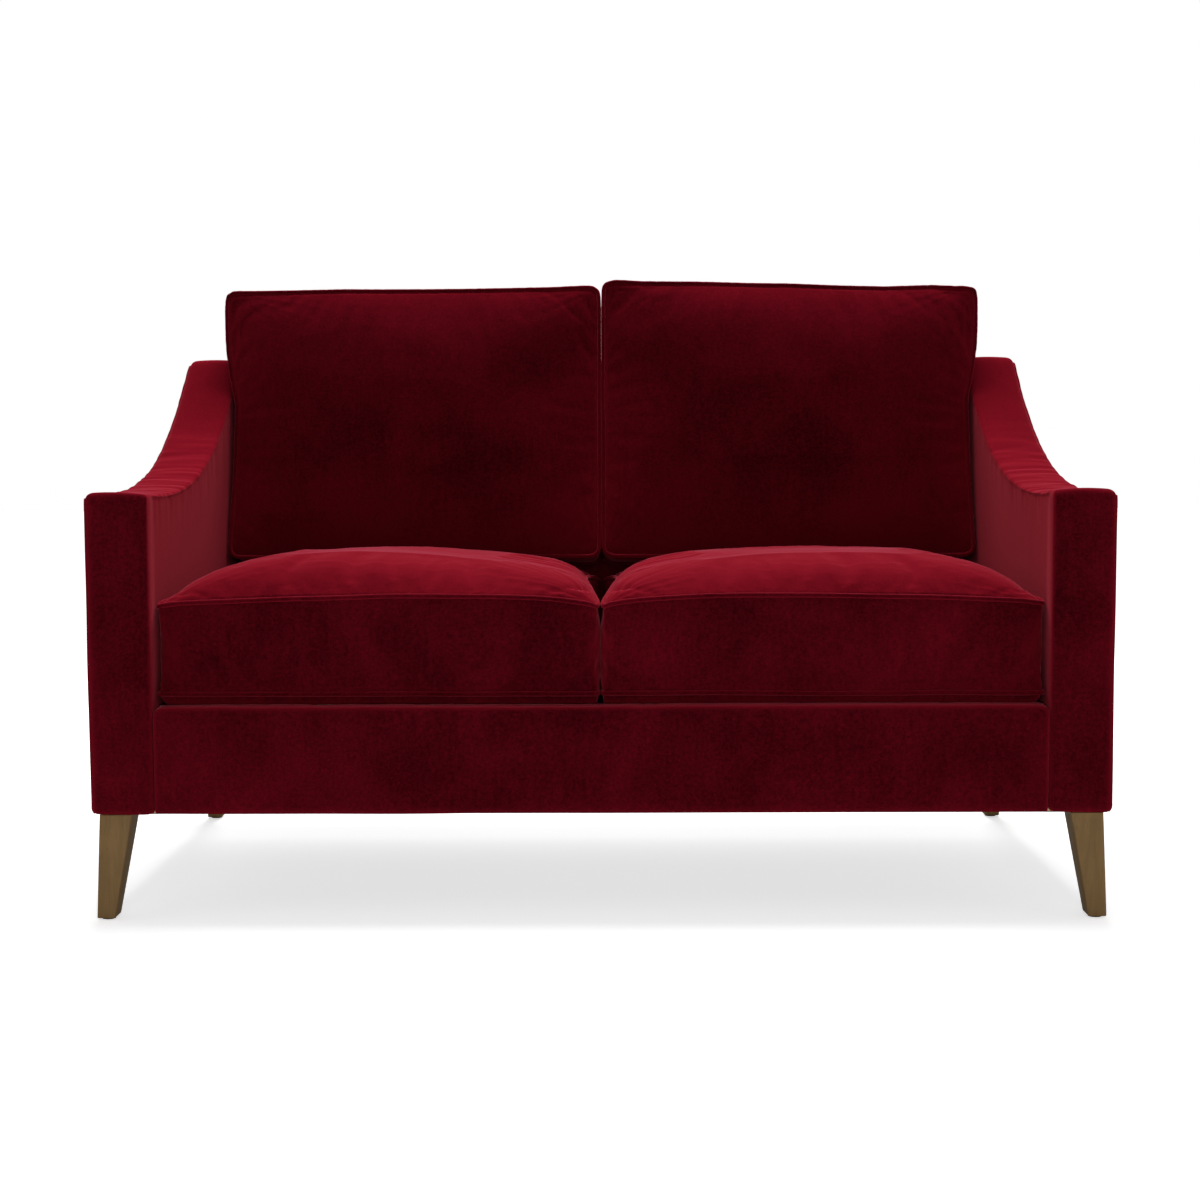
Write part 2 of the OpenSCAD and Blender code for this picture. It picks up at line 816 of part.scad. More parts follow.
// Half of the width that a cushion has between the middle and an arm
cushion_half_w = (x_in - 2 * cushion_gap) / 2;
x_cushion = x_in / 2;
// The seat cushions' depth between their seams is what the back leaves them
seat_cushion_d = inside_y(deck_h + rest_gap + seat_belly_h) - y_front - seat_setback - seat_rear_gap;
seat_form = [
    cushion_half_w, seat_cushion_d / 2, seat_border_h, seat_crown_h, seat_belly_h,
    seat_drawn_in, seat_drawn_in, seat_drawn_in, 0, seat_side_power, seat_front_power, seat_rear_power, 1
];
function back_form(l) = [
    cushion_half_w, l / 2, back_border_t, back_crown_t, back_belly_t,
    back_drawn_in, 0, back_drawn_in, back_flare, back_power, back_power, back_power, clear_of_arm(l)
];
// The v at which a back cushion of length l rises clear of the arms
function clear_of_arm(l) =
    2 * ((back_h - deck_h - back_middle_t * sin(back_rake)) / cos(back_rake) - back_foot_h) / l - 1;

// Seat cushions lie on the deck
y_seat = y_front + seat_setback + seat_cushion_d / 2;
z_seat = deck_h + rest_gap + seat_belly_h + seat_border_h / 2;
module seat_place(side) {
    on_side(side)
        translate([x_cushion, y_seat, z_seat]) children();
}

// Back cushions lean on the inside back and stand on the seat cushions. The height of their foot up
// the rake is found by stepping to where the front seam meets the seat cushion's crown.
back_depth = back_border_t + back_belly_t + rest_gap;
back_middle_t = rest_gap + back_belly_t + back_border_t / 2;
function seat_top_z(y) =
    let (v = 2 * (y - y_seat) / seat_cushion_d)
    z_seat + seat_border_h / 2 + seat_crown_h * (1 - pow(abs(v), seat_rear_power));
function back_foot(h, left) =
    left == 0
        ? h
        : let (y = inside_y(deck_h) + h * sin(back_rake) - back_depth * cos(back_rake))
          back_foot(
              (seat_top_z(y) + rest_gap - deck_h - back_depth * sin(back_rake)) / cos(back_rake),
              left - 1
          );
back_foot_h = back_foot(seat_border_h, 8);
function back_cushion_l(side) = side < 0 ? back_cushion_left_l : back_cushion_right_l;
module back_place(side) {
    on_side(side)
        translate([x_cushion, inside_y(deck_h), deck_h])
            rotate([90 - back_rake, 0, 0])
                translate([
                    0,
                    back_foot_h + back_cushion_l(side) / 2,
                    back_middle_t
                ])
                    children();
}

// The core fills a cushion up to its zip: a block, and a tongue in the slot that the zip closes at
// the end towards direction. Added depth carries the slot on through the border.
module cushion_core(f, direction, added = 0) {
    y_core = f[1] * core_length_share;
    y_tip = f[1] - 2 * zip_tape_t - lay_gap + added;
    cube([2 * f[0] * core_width_share, 2 * y_core, f[2] * core_height_share], center = true);
    translate([0, direction * (y_tip + y_core - over) / 2, 0])
        cube([zip_l, y_tip - y_core + over, zip_tape_w], center = true);
}
module cushion_cover(f, direction) {
    difference() {
        cushion_form(f);
        cushion_core(f, direction, over);
    }
}
// The zip's tape lies one thickness inside the border, with its teeth outwards
module zip_tape(f, direction) {
    y_tape = f[1] - 2 * zip_tape_t;
    translate([0, direction * (y_tape + zip_tape_t / 2), 0])
        cube([zip_l, zip_tape_t, zip_tape_w], center = true);
    translate([0, direction * (y_tape + zip_tape_t + zip_teeth_t / 2), 0])
        cube([zip_l, zip_teeth_t, zip_teeth_w], center = true);
}
// The slider straddles the teeth at the zip's low end, with its pull lying along the tape
module zip_slider(f, direction) {
    y_face = f[1] - zip_tape_t + slider_gap;
    slider_h = zip_teeth_t + slider_t;
    pull_t = slider_t / 2;
    translate([-zip_l / 2, 0, 0])
        difference() {
            union() {
                translate([slider_l / 2, direction * (y_face + slider_h / 2), 0])
                    cube([slider_l, slider_h, slider_w], center = true);
                translate([slider_l + pull_l / 2 - slider_t, direction * (y_face + slider_h - pull_t / 2), 0])
                    cube([pull_l, pull_t, pull_w], center = true);
            }
            translate([slider_l / 2, direction * (y_face + zip_teeth_t / 2), 0])
                cube([slider_l + over, zip_teeth_t, zip_teeth_w + 2 * slider_gap], center = true);
        }
}

module seat_cushion_cover(side) {
    color(VELVET)
        seat_place(side) cushion_cover(seat_form, 1);
}
module seat_cushion_core(side) {
    color(FOAM)
        seat_place(side) cushion_core(seat_form, 1);
}
module seat_cushion_zip(side) {
    color(VELVET)
        seat_place(side) zip_tape(seat_form, 1);
}
module seat_zip_slider(side) {
    color(STEEL)
        seat_place(side) zip_slider(seat_form, 1);
}
module back_cushion_cover(side) {
    color(VELVET)
        back_place(side) cushion_cover(back_form(back_cushion_l(side)), -1);
}
module back_cushion_filling(side) {
    color(FOAM)
        back_place(side) cushion_core(back_form(back_cushion_l(side)), -1);
}
module back_cushion_zip(side) {
    color(VELVET)
        back_place(side) zip_tape(back_form(back_cushion_l(side)), -1);
}
module back_zip_slider(side) {
    color(STEEL)
        back_place(side) zip_slider(back_form(back_cushion_l(side)), -1);
}

front_seat_rail();
rear_seat_rail();
side_seat_rail(-1);  // side_seat_rail_left
side_seat_rail(1);  // side_seat_rail_right
centre_seat_rail();
leg_blocks();
arm_inner_board(-1);  // arm_inner_board_left
arm_inner_board(1);  // arm_inner_board_right
arm_outer_board(-1);  // arm_outer_board_left
arm_outer_board(1);  // arm_outer_board_right
arm_front_post(-1);  // arm_front_post_left
arm_front_post(1);  // arm_front_post_right
rear_post(-1);  // rear_post_left
rear_post(1);  // rear_post_right
back_top_rail();
back_tuck_rail();
back_centre_stile();
frame_dowels();
seat_springs();
spring_clips();
back_webbing();
seat_deck_pad();
seat_deck_cover();
back_pad();
inside_back_cover();
outside_back_cover();
arm_pad(-1);  // arm_pad_left
arm_pad(1);  // arm_pad_right
inside_arm_cover(-1);  // inside_arm_cover_left
inside_arm_cover(1);  // inside_arm_cover_right
outside_arm_cover(-1);  // outside_arm_cover_left
outside_arm_cover(1);  // outside_arm_cover_right
arm_border(-1);  // arm_border_left
arm_border(1);  // arm_border_right
front_border_pad();
front_border_cover();
dust_cover();
leg(-1, 0);  // front_leg_left
leg(1, 0);  // front_leg_right
leg(-1, 1);  // rear_leg_left
leg(1, 1);  // rear_leg_right
leg_bolts();
leg_insert_nuts();
foot_glides();
seat_cushion_cover(-1);  // seat_cushion_cover_left
seat_cushion_cover(1);  // seat_cushion_cover_right
seat_cushion_core(-1);  // seat_cushion_core_left
seat_cushion_core(1);  // seat_cushion_core_right
back_cushion_cover(-1);  // back_cushion_cover_left
back_cushion_cover(1);  // back_cushion_cover_right
back_cushion_filling(-1);  // back_cushion_filling_left
back_cushion_filling(1);  // back_cushion_filling_right
seat_cushion_zip(-1);  // seat_cushion_zip_left
seat_cushion_zip(1);  // seat_cushion_zip_right
back_cushion_zip(-1);  // back_cushion_zip_left
back_cushion_zip(1);  // back_cushion_zip_right
seat_zip_slider(-1);  // seat_zip_slider_left
seat_zip_slider(1);  // seat_zip_slider_right
back_zip_slider(-1);  // back_zip_slider_left
back_zip_slider(1);  // back_zip_slider_right
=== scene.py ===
import math

import bmesh
import bpy
import numpy as np
from mathutils import Matrix, Vector, kdtree, noise
from mathutils.bvhtree import BVHTree


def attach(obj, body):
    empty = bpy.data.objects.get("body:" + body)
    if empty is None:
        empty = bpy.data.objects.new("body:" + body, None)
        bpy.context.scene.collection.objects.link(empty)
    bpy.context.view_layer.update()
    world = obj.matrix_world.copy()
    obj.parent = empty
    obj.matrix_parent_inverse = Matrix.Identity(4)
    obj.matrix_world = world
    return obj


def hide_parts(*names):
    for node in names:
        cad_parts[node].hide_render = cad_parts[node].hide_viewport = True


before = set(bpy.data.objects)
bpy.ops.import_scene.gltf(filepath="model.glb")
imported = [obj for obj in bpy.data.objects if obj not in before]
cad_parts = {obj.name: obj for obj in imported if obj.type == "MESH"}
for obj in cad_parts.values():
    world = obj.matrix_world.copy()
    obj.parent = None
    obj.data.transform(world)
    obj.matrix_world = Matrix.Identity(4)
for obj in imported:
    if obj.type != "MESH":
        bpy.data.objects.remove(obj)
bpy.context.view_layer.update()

# The view: a plain camera in front of the settee, a little right of its middle and looking a little
# down. Its frame is square and 36 mm wide.
scene = bpy.context.scene
scene.view_settings.view_transform = "Standard"
view = bpy.data.cameras.new("view")
view.lens = 57.144
view.sensor_width = 36
camera = bpy.data.objects.new("view", view)
scene.collection.objects.link(camera)
camera.matrix_world = (
    Matrix.Translation((0.0147, -3.193, 0.6926))
    @ Matrix.Rotation(math.radians(0.307), 4, "Z")
    @ Matrix.Rotation(math.radians(85.5), 4, "X")
    @ Matrix.Rotation(math.radians(-0.2), 4, "Z")
)
scene.camera = camera

# The light: one wide soft lamp overhead, weak ones in front, at each side and behind, and a pale
# world. The world's colour is white only to the camera and in reflections.
for place, aim, width, power in (
    ((0, 0.75, 3.3), (0, 0.3, 0.4), 2.2, 118),
    ((0, -3.4, 0.9), (0, 0, 0.45), 1.8, 34),
    ((-3.2, -1.6, 1.7), (0, 0, 0.5), 1.6, 4),
    ((3.2, -1.6, 1.7), (0, 0, 0.5), 1.6, 4),
    ((0, 3.4, 1.5), (0, 0, 0.7), 2.2, 100),
):
    lamp = bpy.data.lights.new("soft_lamp", "AREA")
    lamp.size = width
    lamp.energy = power
    holder = bpy.data.objects.new("soft_lamp", lamp)
    scene.collection.objects.link(holder)
    holder.location = place
    holder.rotation_euler = (Vector(aim) - Vector(place)).to_track_quat("-Z", "Y").to_euler()

scene.world = bpy.data.worlds.new("pale_room")
scene.world.use_nodes = True
nodes, links = scene.world.node_tree.nodes, scene.world.node_tree.links
rays = nodes.new("ShaderNodeLightPath")
seen = nodes.new("ShaderNodeMath")
seen.operation = "MAXIMUM"
room = nodes.new("ShaderNodeMix")
room.data_type = "RGBA"
room.inputs["A"].default_value = (0.21, 0.21, 0.215, 1)
room.inputs["B"].default_value = (1, 1, 1, 1)
links.new(rays.outputs["Is Camera Ray"], seen.inputs[0])
links.new(rays.outputs["Is Glossy Ray"], seen.inputs[1])
links.new(seen.outputs[0], room.inputs["Factor"])
links.new(room.outputs["Result"], nodes["Background"].inputs["Color"])

# The floor: a plain pale floor that keeps the settee's shadow and runs out to white.
bpy.ops.object.select_all(action="DESELECT")
bpy.ops.mesh.primitive_plane_add(size=30, location=(0, 4, 0))
bpy.ops.object.transform_apply(location=True)
floor = bpy.context.object
floor.name = "floor"
pale = bpy.data.materials.new("pale_floor")
pale.use_nodes = True
nodes, links = pale.node_tree.nodes, pale.node_tree.links
paint = nodes["Principled BSDF"]
paint.inputs["Base Color"].default_value = (0.82, 0.82, 0.82, 1)
paint.inputs["Roughness"].default_value = 0.9
paint.inputs["Emission Color"].default_value = (1, 1, 1, 1)
rays = nodes.new("ShaderNodeLightPath")
far = nodes.new("ShaderNodeVectorMath")
far.operation = "LENGTH"
links.new(nodes.new("ShaderNodeTexCoord").outputs["Object"], far.inputs[0])
lift = nodes.new("ShaderNodeMapRange")
lift.inputs["From Min"].default_value = 1.2
lift.inputs["From Max"].default_value = 5
lift.inputs["To Min"].default_value = 0.6
lift.inputs["To Max"].default_value = 1.0
links.new(far.outputs["Value"], lift.inputs["Value"])
seen = nodes.new("ShaderNodeMath")
seen.operation = "MULTIPLY"
links.new(rays.outputs["Is Camera Ray"], seen.inputs[0])
links.new(lift.outputs["Result"], seen.inputs[1])
links.new(seen.outputs[0], paint.inputs["Emission Strength"])
floor.data.materials.append(pale)

# ARMS. Each scoop arm is a timber frame wrapped in padding and covered in three pieces of claret
# velvet: the inside, the outside, and a border strip that runs up the front and over the scoop.
# They are sewn together along the arm's long edges and stapled underneath.


def alone(piece):
    """Selects a piece and nothing else."""
    bpy.ops.object.select_all(action="DESELECT")
    piece.select_set(True)
    bpy.context.view_layer.objects.active = piece


def add_block(name, low, high):
    """A block between two corners, with nothing else selected."""
    bpy.ops.object.select_all(action="DESELECT")
    low, high = Vector(low), Vector(high)
    bpy.ops.mesh.primitive_cube_add(size=1, location=(low + high) / 2, scale=high - low)
    bpy.ops.object.transform_apply(location=True, rotation=True, scale=True)
    piece = bpy.context.object
    piece.name = piece.data.name = name
    return piece


def edit(piece):
    """Opens a piece in edit mode, alone."""
    alone(piece)
    bpy.ops.object.mode_set(mode="EDIT")


def done():
    bpy.ops.object.mode_set(mode="OBJECT")


def cut_across(axis, places):
    """In edit mode, cuts the whole piece square to an axis at each place."""
    normal = Vector((0, 0, 0))
    normal[axis] = 1
    for place in places:
        bpy.ops.mesh.select_all(action="SELECT")
        bpy.ops.mesh.bisect(plane_co=normal * place, plane_no=normal)


def choose(kind, test):
    """In edit mode, selects the vertices, edges or faces that pass the test, and nothing else."""
    bpy.ops.mesh.select_mode(type=kind)
    bpy.ops.mesh.select_all(action="DESELECT")
    mesh = bmesh.from_edit_mesh(bpy.context.object.data)
    mesh.normal_update()
    for part in {"VERT": mesh.verts, "EDGE": mesh.edges, "FACE": mesh.faces}[kind]:
        if test(part):
            part.select_set(True)
    mesh.select_flush_mode()
    bmesh.update_edit_mesh(bpy.context.object.data)


def bevel(width, segments, test):
    """In edit mode, rounds off the edges that pass the test."""
    choose("EDGE", test)
    bpy.ops.mesh.bevel(offset=width, segments=segments, affect="EDGES")


def sharp(e):
    return e.calc_face_angle(0) > 1.2


def drop_faces(test):
    choose("FACE", test)
    bpy.ops.mesh.delete(type="FACE")


def between(low, high, step):
    """Places spaced about a step apart, from low to high."""
    count = max(1, round((high - low) / step))
    return [low + (high - low) * i / count for i in range(count + 1)]


def both(edge, test):
    return all(test(v.co) for v in edge.verts)


def waver(x, y, z):
    """A smooth random value between about -1 and 1 that is always the same at the same place."""
    return noise.noise(Vector((x, y, z)))


def clamp(value, low=0.0, high=1.0):
    return max(low, min(high, value))


def mark_panels(panel_of):
    """In edit mode, gives each face the number of the panel that it belongs to."""
    mesh = bmesh.from_edit_mesh(bpy.context.object.data)
    for f in mesh.faces:
        f.material_index = panel_of(f)
    bmesh.update_edit_mesh(bpy.context.object.data)


def tucked_in(f):
    """1 for the faces underneath and behind, which no velvet covers, and 0 for the rest."""
    return 1 if f.normal.z < -0.9 or f.normal.y > 0.9 else 0


def sew(width, depth):
    """Makes the selected edges a sewn seam: a narrow bevel whose middle line is pulled in."""
    bpy.ops.mesh.bevel(offset=width, segments=2, affect="EDGES")
    mesh = bmesh.from_edit_mesh(bpy.context.object.data)
    middle = {v.index for v in mesh.verts if v.select and all(f.select for f in v.link_faces)}
    choose("VERT", lambda v: v.index in middle)
    bpy.ops.transform.shrink_fatten(value=-depth)


def finish(piece, *modifiers):
    """Adds modifiers, each as its kind and settings, and applies them in turn."""
    alone(piece)
    for kind, settings in modifiers:
        added = piece.modifiers.new(kind.lower(), kind)
        for key, value in settings.items():
            setattr(added, key, value)
        bpy.ops.object.modifier_apply(modifier=added.name)


rounded = ("SUBSURF", {"levels": 1, "render_levels": 1})


def smooth(piece, angle=50):
    alone(piece)
    bpy.ops.object.shade_smooth_by_angle(angle=math.radians(angle))


def outward(piece):
    """Turns every face of a closed piece outwards, once its doubles are merged."""
    edit(piece)
    bpy.ops.mesh.select_all(action="SELECT")
    bpy.ops.mesh.remove_doubles(threshold=0.00002)
    bpy.ops.mesh.normals_make_consistent(inside=False)
    done()


def copy_of(piece, name):
    """A copy of a piece with its own mesh, not parented."""
    twin = bpy.data.objects.new(name, piece.data.copy())
    twin.data.name = name
    scene.collection.objects.link(twin)
    return twin


def mirrored(piece, name):
    """The left-hand twin of a right-hand piece."""
    twin = copy_of(piece, name)
    twin.data.transform(Matrix.Scale(-1, 4, (1, 0, 0)))
    outward(twin)
    return twin


def press(piece, rise):
    """Moves each vertex along its normal by what rise says for its place and normal, in metres."""
    mesh = piece.data
    normals = [v.normal.copy() for v in mesh.vertices]
    for v, n in zip(mesh.vertices, normals):
        v.co += n * rise(v.co, n)
    mesh.update()


def take_panel(piece, panel, name):
    """One sewn panel of an upholstered block, as a cloth 1.6 mm thick."""
    cloth = copy_of(piece, name)
    edit(cloth)
    drop_faces(lambda f: f.material_index != panel)
    done()
    cloth.data.polygons.foreach_set("material_index", [0] * len(cloth.data.polygons))
    finish(cloth, ("SOLIDIFY", {"thickness": 0.0016, "offset": -1, "use_even_offset": False}))
    smooth(cloth, 60)
    return cloth


# Claret velvet: a short dense pile with brushed patches, faint lines down the nap and a fine grain. Its
# colour is painted darker seen straight on and paler at a slant: a painted sheen.
def node_group(name, inputs):
    """A shader node group that gives a colour and a height, from inputs with resting values."""
    group = bpy.data.node_groups.new(name, "ShaderNodeTree")
    for label, value in inputs.items():
        kind = "Float" if isinstance(value, float) else {3: "Vector", 4: "Color"}[len(value)]
        socket = group.interface.new_socket(label, in_out="INPUT", socket_type="NodeSocket" + kind)
        socket.default_value = value
    for label, kind in (("Color", "NodeSocketColor"), ("Height", "NodeSocketFloat")):
        group.interface.new_socket(label, in_out="OUTPUT", socket_type=kind)
    return group, group.nodes.new("NodeGroupInput"), group.nodes.new("NodeGroupOutput")


def feed(tree, socket, value):
    """Sets a socket to a value, or links it to another socket."""
    if isinstance(value, (int, float, tuple)):
        socket.default_value = value
    elif value is not None:
        tree.links.new(value, socket)


def object_place(tree):
    return tree.nodes.new("ShaderNodeTexCoord").outputs["Object"]


def add_noise(tree, vector, scale, detail=2.0, roughness=0.5, distortion=0.0):
    made = tree.nodes.new("ShaderNodeTexNoise")
    for label, value in (("Vector", vector), ("Scale", scale), ("Detail", detail), ("Roughness", roughness),
                         ("Distortion", distortion)):
        feed(tree, made.inputs[label], value)
    return made.outputs["Fac"]


def add_math(tree, kind, a, b=None, held=False):
    """One step of arithmetic; held keeps its result between 0 and 1."""
    made = tree.nodes.new("ShaderNodeMath")
    made.operation = kind
    made.use_clamp = held
    feed(tree, made.inputs[0], a)
    feed(tree, made.inputs[1], b)
    return made.outputs[0]


def add_sum(tree, *parts, held=False):
    """Adds values up, each given with its factor and with what is first taken off it."""
    total = None
    for i, (value, factor, less) in enumerate(parts):
        last = held and i == len(parts) - 1
        if less:
            value = add_math(tree, "SUBTRACT", value, less)
        value = add_math(tree, "MULTIPLY", value, factor, last and total is None)
        total = value if total is None else add_math(tree, "ADD", total, value, last)
    return total


def add_stretch(tree, vector, scale):
    made = tree.nodes.new("ShaderNodeVectorMath")
    made.operation = "MULTIPLY"
    feed(tree, made.inputs[0], vector)
    feed(tree, made.inputs[1], scale)
    return made.outputs[0]


def add_axes(tree, vector):
    made = tree.nodes.new("ShaderNodeSeparateXYZ")
    feed(tree, made.inputs[0], vector)
    return list(made.outputs)


def give(tree, outlet, share, inlet, dark, light, height):
    """Ends a group: a colour between its dark and light inputs, and a height."""
    blended = add_blend(tree, share, inlet.outputs[dark], inlet.outputs[light])
    tree.links.new(blended, outlet.inputs["Color"])
    tree.links.new(height, outlet.inputs["Height"])


def add_blend(tree, share, a, b):
    made = tree.nodes.new("ShaderNodeMix")
    made.data_type = "RGBA"
    for label, value in (("Factor", share), ("A", a), ("B", b)):
        feed(tree, made.inputs[label], value)
    return made.outputs["Result"]


nap, inlet, outlet = node_group("brushed_nap", {
    "Deep": (0.05, 0.002, 0.006, 1), "Brushed": (0.11, 0.005, 0.013, 1),
    "Patch Size": 7.0, "Lighter Foot": 0.0,
})
place = object_place(nap)
patches = add_noise(nap, place, inlet.outputs["Patch Size"], 3, 0.5, 0.6)
lines = add_noise(nap, add_stretch(nap, place, (150, 150, 14)), 1.0, 3, 0.6)
grain = add_noise(nap, place, 620, 2, 0.7)
speck = add_noise(nap, place, 210, 2, 0.6)
share = add_sum(nap, (patches, 2.2, 0.34), held=True)
share = add_sum(nap, (share, 0.55, 0), (lines, 0.42, 0), (grain, 1.3, 0.5), (speck, 1.2, 0.5), held=True)
# Painted bounce light: the colour is lifted below 0.68 m, by the amount the group is given for it.
foot = add_math(nap, "MULTIPLY", add_math(nap, "SUBTRACT", 0.68, add_axes(nap, place)[2]), 7.0, True)
share = add_math(nap, "ADD", share, add_math(nap, "MULTIPLY", foot, inlet.outputs["Lighter Foot"]))
pile = add_sum(nap, (grain, 0.6, 0), (speck, 0.7, 0), (lines, 0.35, 0))
give(nap, outlet, share, inlet, "Deep", "Brushed", pile)


def use_group(material, group, **values):
    made = material.node_tree.nodes.new("ShaderNodeGroup")
    made.node_tree = group
    for label, value in values.items():
        made.inputs[label.replace("_", " ")].default_value = value
    return made


def new_material(name, roughness, **sockets):
    """A material with its Principled BSDF and the values that are the same all over it."""
    material = bpy.data.materials.new(name)
    material.use_nodes = True
    finish_node = material.node_tree.nodes["Principled BSDF"]
    finish_node.inputs["Roughness"].default_value = roughness
    for label, value in sockets.items():
        finish_node.inputs[label.replace("_", " ")].default_value = value
    return material, finish_node


def bump_from(material, finish_node, height, depth, strength=1.0):
    made = material.node_tree.nodes.new("ShaderNodeBump")
    made.inputs["Strength"].default_value = strength
    made.inputs["Distance"].default_value = depth
    material.node_tree.links.new(height, made.inputs["Height"])
    material.node_tree.links.new(made.outputs["Normal"], finish_node.inputs["Normal"])


def coloured_by(material, finish_node, group, depth, strength=1.0, **values):
    """Takes a material's colour and its bump from one group."""
    made = use_group(material, group, **values)
    material.node_tree.links.new(made.outputs["Color"], finish_node.inputs["Base Color"])
    bump_from(material, finish_node, made.outputs["Height"], depth, strength)


def velvet_cloth(name, deep, brushed, painted_bounce_low=0.0):
    """Velvet of one nap, with a painted sheen: a richer claret at a slant, a pale pink almost edge on."""
    cloth, pile_finish = new_material(
        name, 0.9, Specular_IOR_Level=0.0, Sheen_Weight=0.22, Sheen_Roughness=0.30,
        Sheen_Tint=(0.85, 0.16, 0.20, 1),
    )
    tree = cloth.node_tree
    made = use_group(cloth, nap, Deep=(*deep, 1), Brushed=(*brushed, 1), Lighter_Foot=painted_bounce_low)
    # Painted sheen: the base colour is mixed towards a brighter claret, then a pale pink, as the view turns
    # edge on.
    slant = tree.nodes.new("ShaderNodeLayerWeight").outputs["Facing"]
    painted_sheen_claret, painted_sheen_pink = (0.245, 0.0065, 0.016, 1), (0.27, 0.045, 0.070, 1)
    slant_sheen = add_blend(tree, add_math(tree, "POWER", slant, 1.05), made.outputs["Color"], painted_sheen_claret)
    edge_on_sheen = add_blend(tree, add_math(tree, "POWER", slant, 22), slant_sheen, painted_sheen_pink)
    tree.links.new(edge_on_sheen, pile_finish.inputs["Base Color"])
    bump_from(cloth, pile_finish, made.outputs["Height"], 0.0006, 0.55)
    return cloth


velvet = velvet_cloth("claret_velvet", (0.027, 0.0008, 0.0023), (0.104, 0.0028, 0.0074))
# The back cushions' velvet: the same claret painted darker, a painted shade, and paler towards the foot of
# each cushion, a painted bounce light from the seat.
velvet_painted_shade_and_bounce = velvet_cloth("claret_velvet_painted_shade_and_bounce", (0.022, 0.0006, 0.0018), (0.082, 0.0021, 0.0056), 0.6)

# The padded body stands between its foot and its top, and the arm between its inner and outer faces.
foot_z, top_z, body_h = 0.158, 0.857, 0.699
half_deep = 0.430
arm_inner_x, arm_outer_x = 0.658, 0.750

# The arm from the side: level behind, falling in a scoop to the low front.
scoop = ((-half_deep, 0.633), (-0.00107, 0.599), (0.16614, 0.74948), (0.297, top_z))


def arm_top(y):
    """Height of the arm's top at depth y."""
    if y >= 0.297:
        return top_z
    low, high = 0.0, 1.0
    for _ in range(26):
        t = (low + high) / 2
        at = [
            (1 - t) ** 3 * scoop[0][k] + 3 * (1 - t) ** 2 * t * scoop[1][k]
            + 3 * (1 - t) * t * t * scoop[2][k] + t**3 * scoop[3][k]
            for k in (0, 1)
        ]
        if at[0] < y:
            low = t
        else:
            high = t
    return at[1]


def arm_slope(y):
    """Cosine of the arm top's slope at depth y."""
    return 1 / math.hypot(1, (arm_top(y + 0.004) - arm_top(y - 0.004)) / 0.008)


def outside_back(z):
    """Depth of the outside back at a height: it leans out 60 mm from its foot to its top."""
    return half_deep - 0.060 * (top_z - z) / body_h


stations = [-half_deep] + between(-0.413, half_deep, 0.0112)
arm = add_block("arm_right", (arm_inner_x, -half_deep, foot_z), (arm_outer_x, half_deep, top_z))
edit(arm)
cut_across(0, [0.675, 0.690, 0.704, 0.718, 0.733])
cut_across(2, between(0.179, 0.834, 0.0205))
cut_across(1, stations[1:-1])
for y in stations:
    choose("VERT", lambda v: abs(v.co.y - y) < 0.0001)
    bpy.ops.transform.resize(value=(1, 1, (arm_top(y) - foot_z) / body_h), center_override=(0, y, foot_z))
bpy.ops.mesh.select_all(action="SELECT")
bpy.ops.mesh.bisect(
    plane_co=(0, 0.427, top_z), plane_no=(0, body_h, -0.060), clear_outer=True, use_fill=True
)


def on_arm_top(p):
    return p.y < 0.4265 and abs(p.z - arm_top(p.y)) < 0.0003


def on_front(p):
    return abs(p.y + half_deep) < 0.0001


def on_foot(p):
    return abs(p.z - foot_z) < 0.0001


def soft_edge(e):
    """The outer edges along the top, front and foot, and the edges across the front."""
    if both(e, lambda p: p.x > 0.7499):
        return both(e, on_arm_top) or both(e, on_front) or both(e, on_foot)
    return both(e, lambda p: on_arm_top(p) and on_front(p))


bevel(0.011, 4, soft_edge)


def joins_side(e, x, side):
    """An edge where the flat side at x meets the strip, but not at the foot or the rear."""
    middle = (e.verts[0].co + e.verts[1].co) / 2
    if middle.z < 0.172 or middle.y > outside_back(middle.z) - 0.006 or abs(middle.x - x) > 0.0001:
        return False
    flat = [f.normal.x * side > 0.9995 for f in e.link_faces]
    return len(flat) == 2 and flat[0] != flat[1]


choose("EDGE", lambda e: joins_side(e, arm_inner_x, -1))
sew(0.003, 0.0022)
choose("EDGE", lambda e: joins_side(e, arm_outer_x, 1))
sew(0.0024, 0.0014)


def arm_panel(f):
    """0 is the border strip, 1 the inside, 2 the outside, and 3 the foot and the rear."""
    p = f.calc_center_median()
    if f.normal.z < -0.9 and p.z < 0.163 or f.normal.y > 0.9 and p.y > outside_back(p.z) - 0.008:
        return 3
    deep = min((arm_top(p.y) - p.z) * arm_slope(p.y), p.y + half_deep)
    if p.x - arm_inner_x < deep and p.x < 0.70:
        return 1
    return 2 if deep > 0.011 and p.x > 0.72 else 0


mark_panels(arm_panel)
done()
finish(arm, rounded)


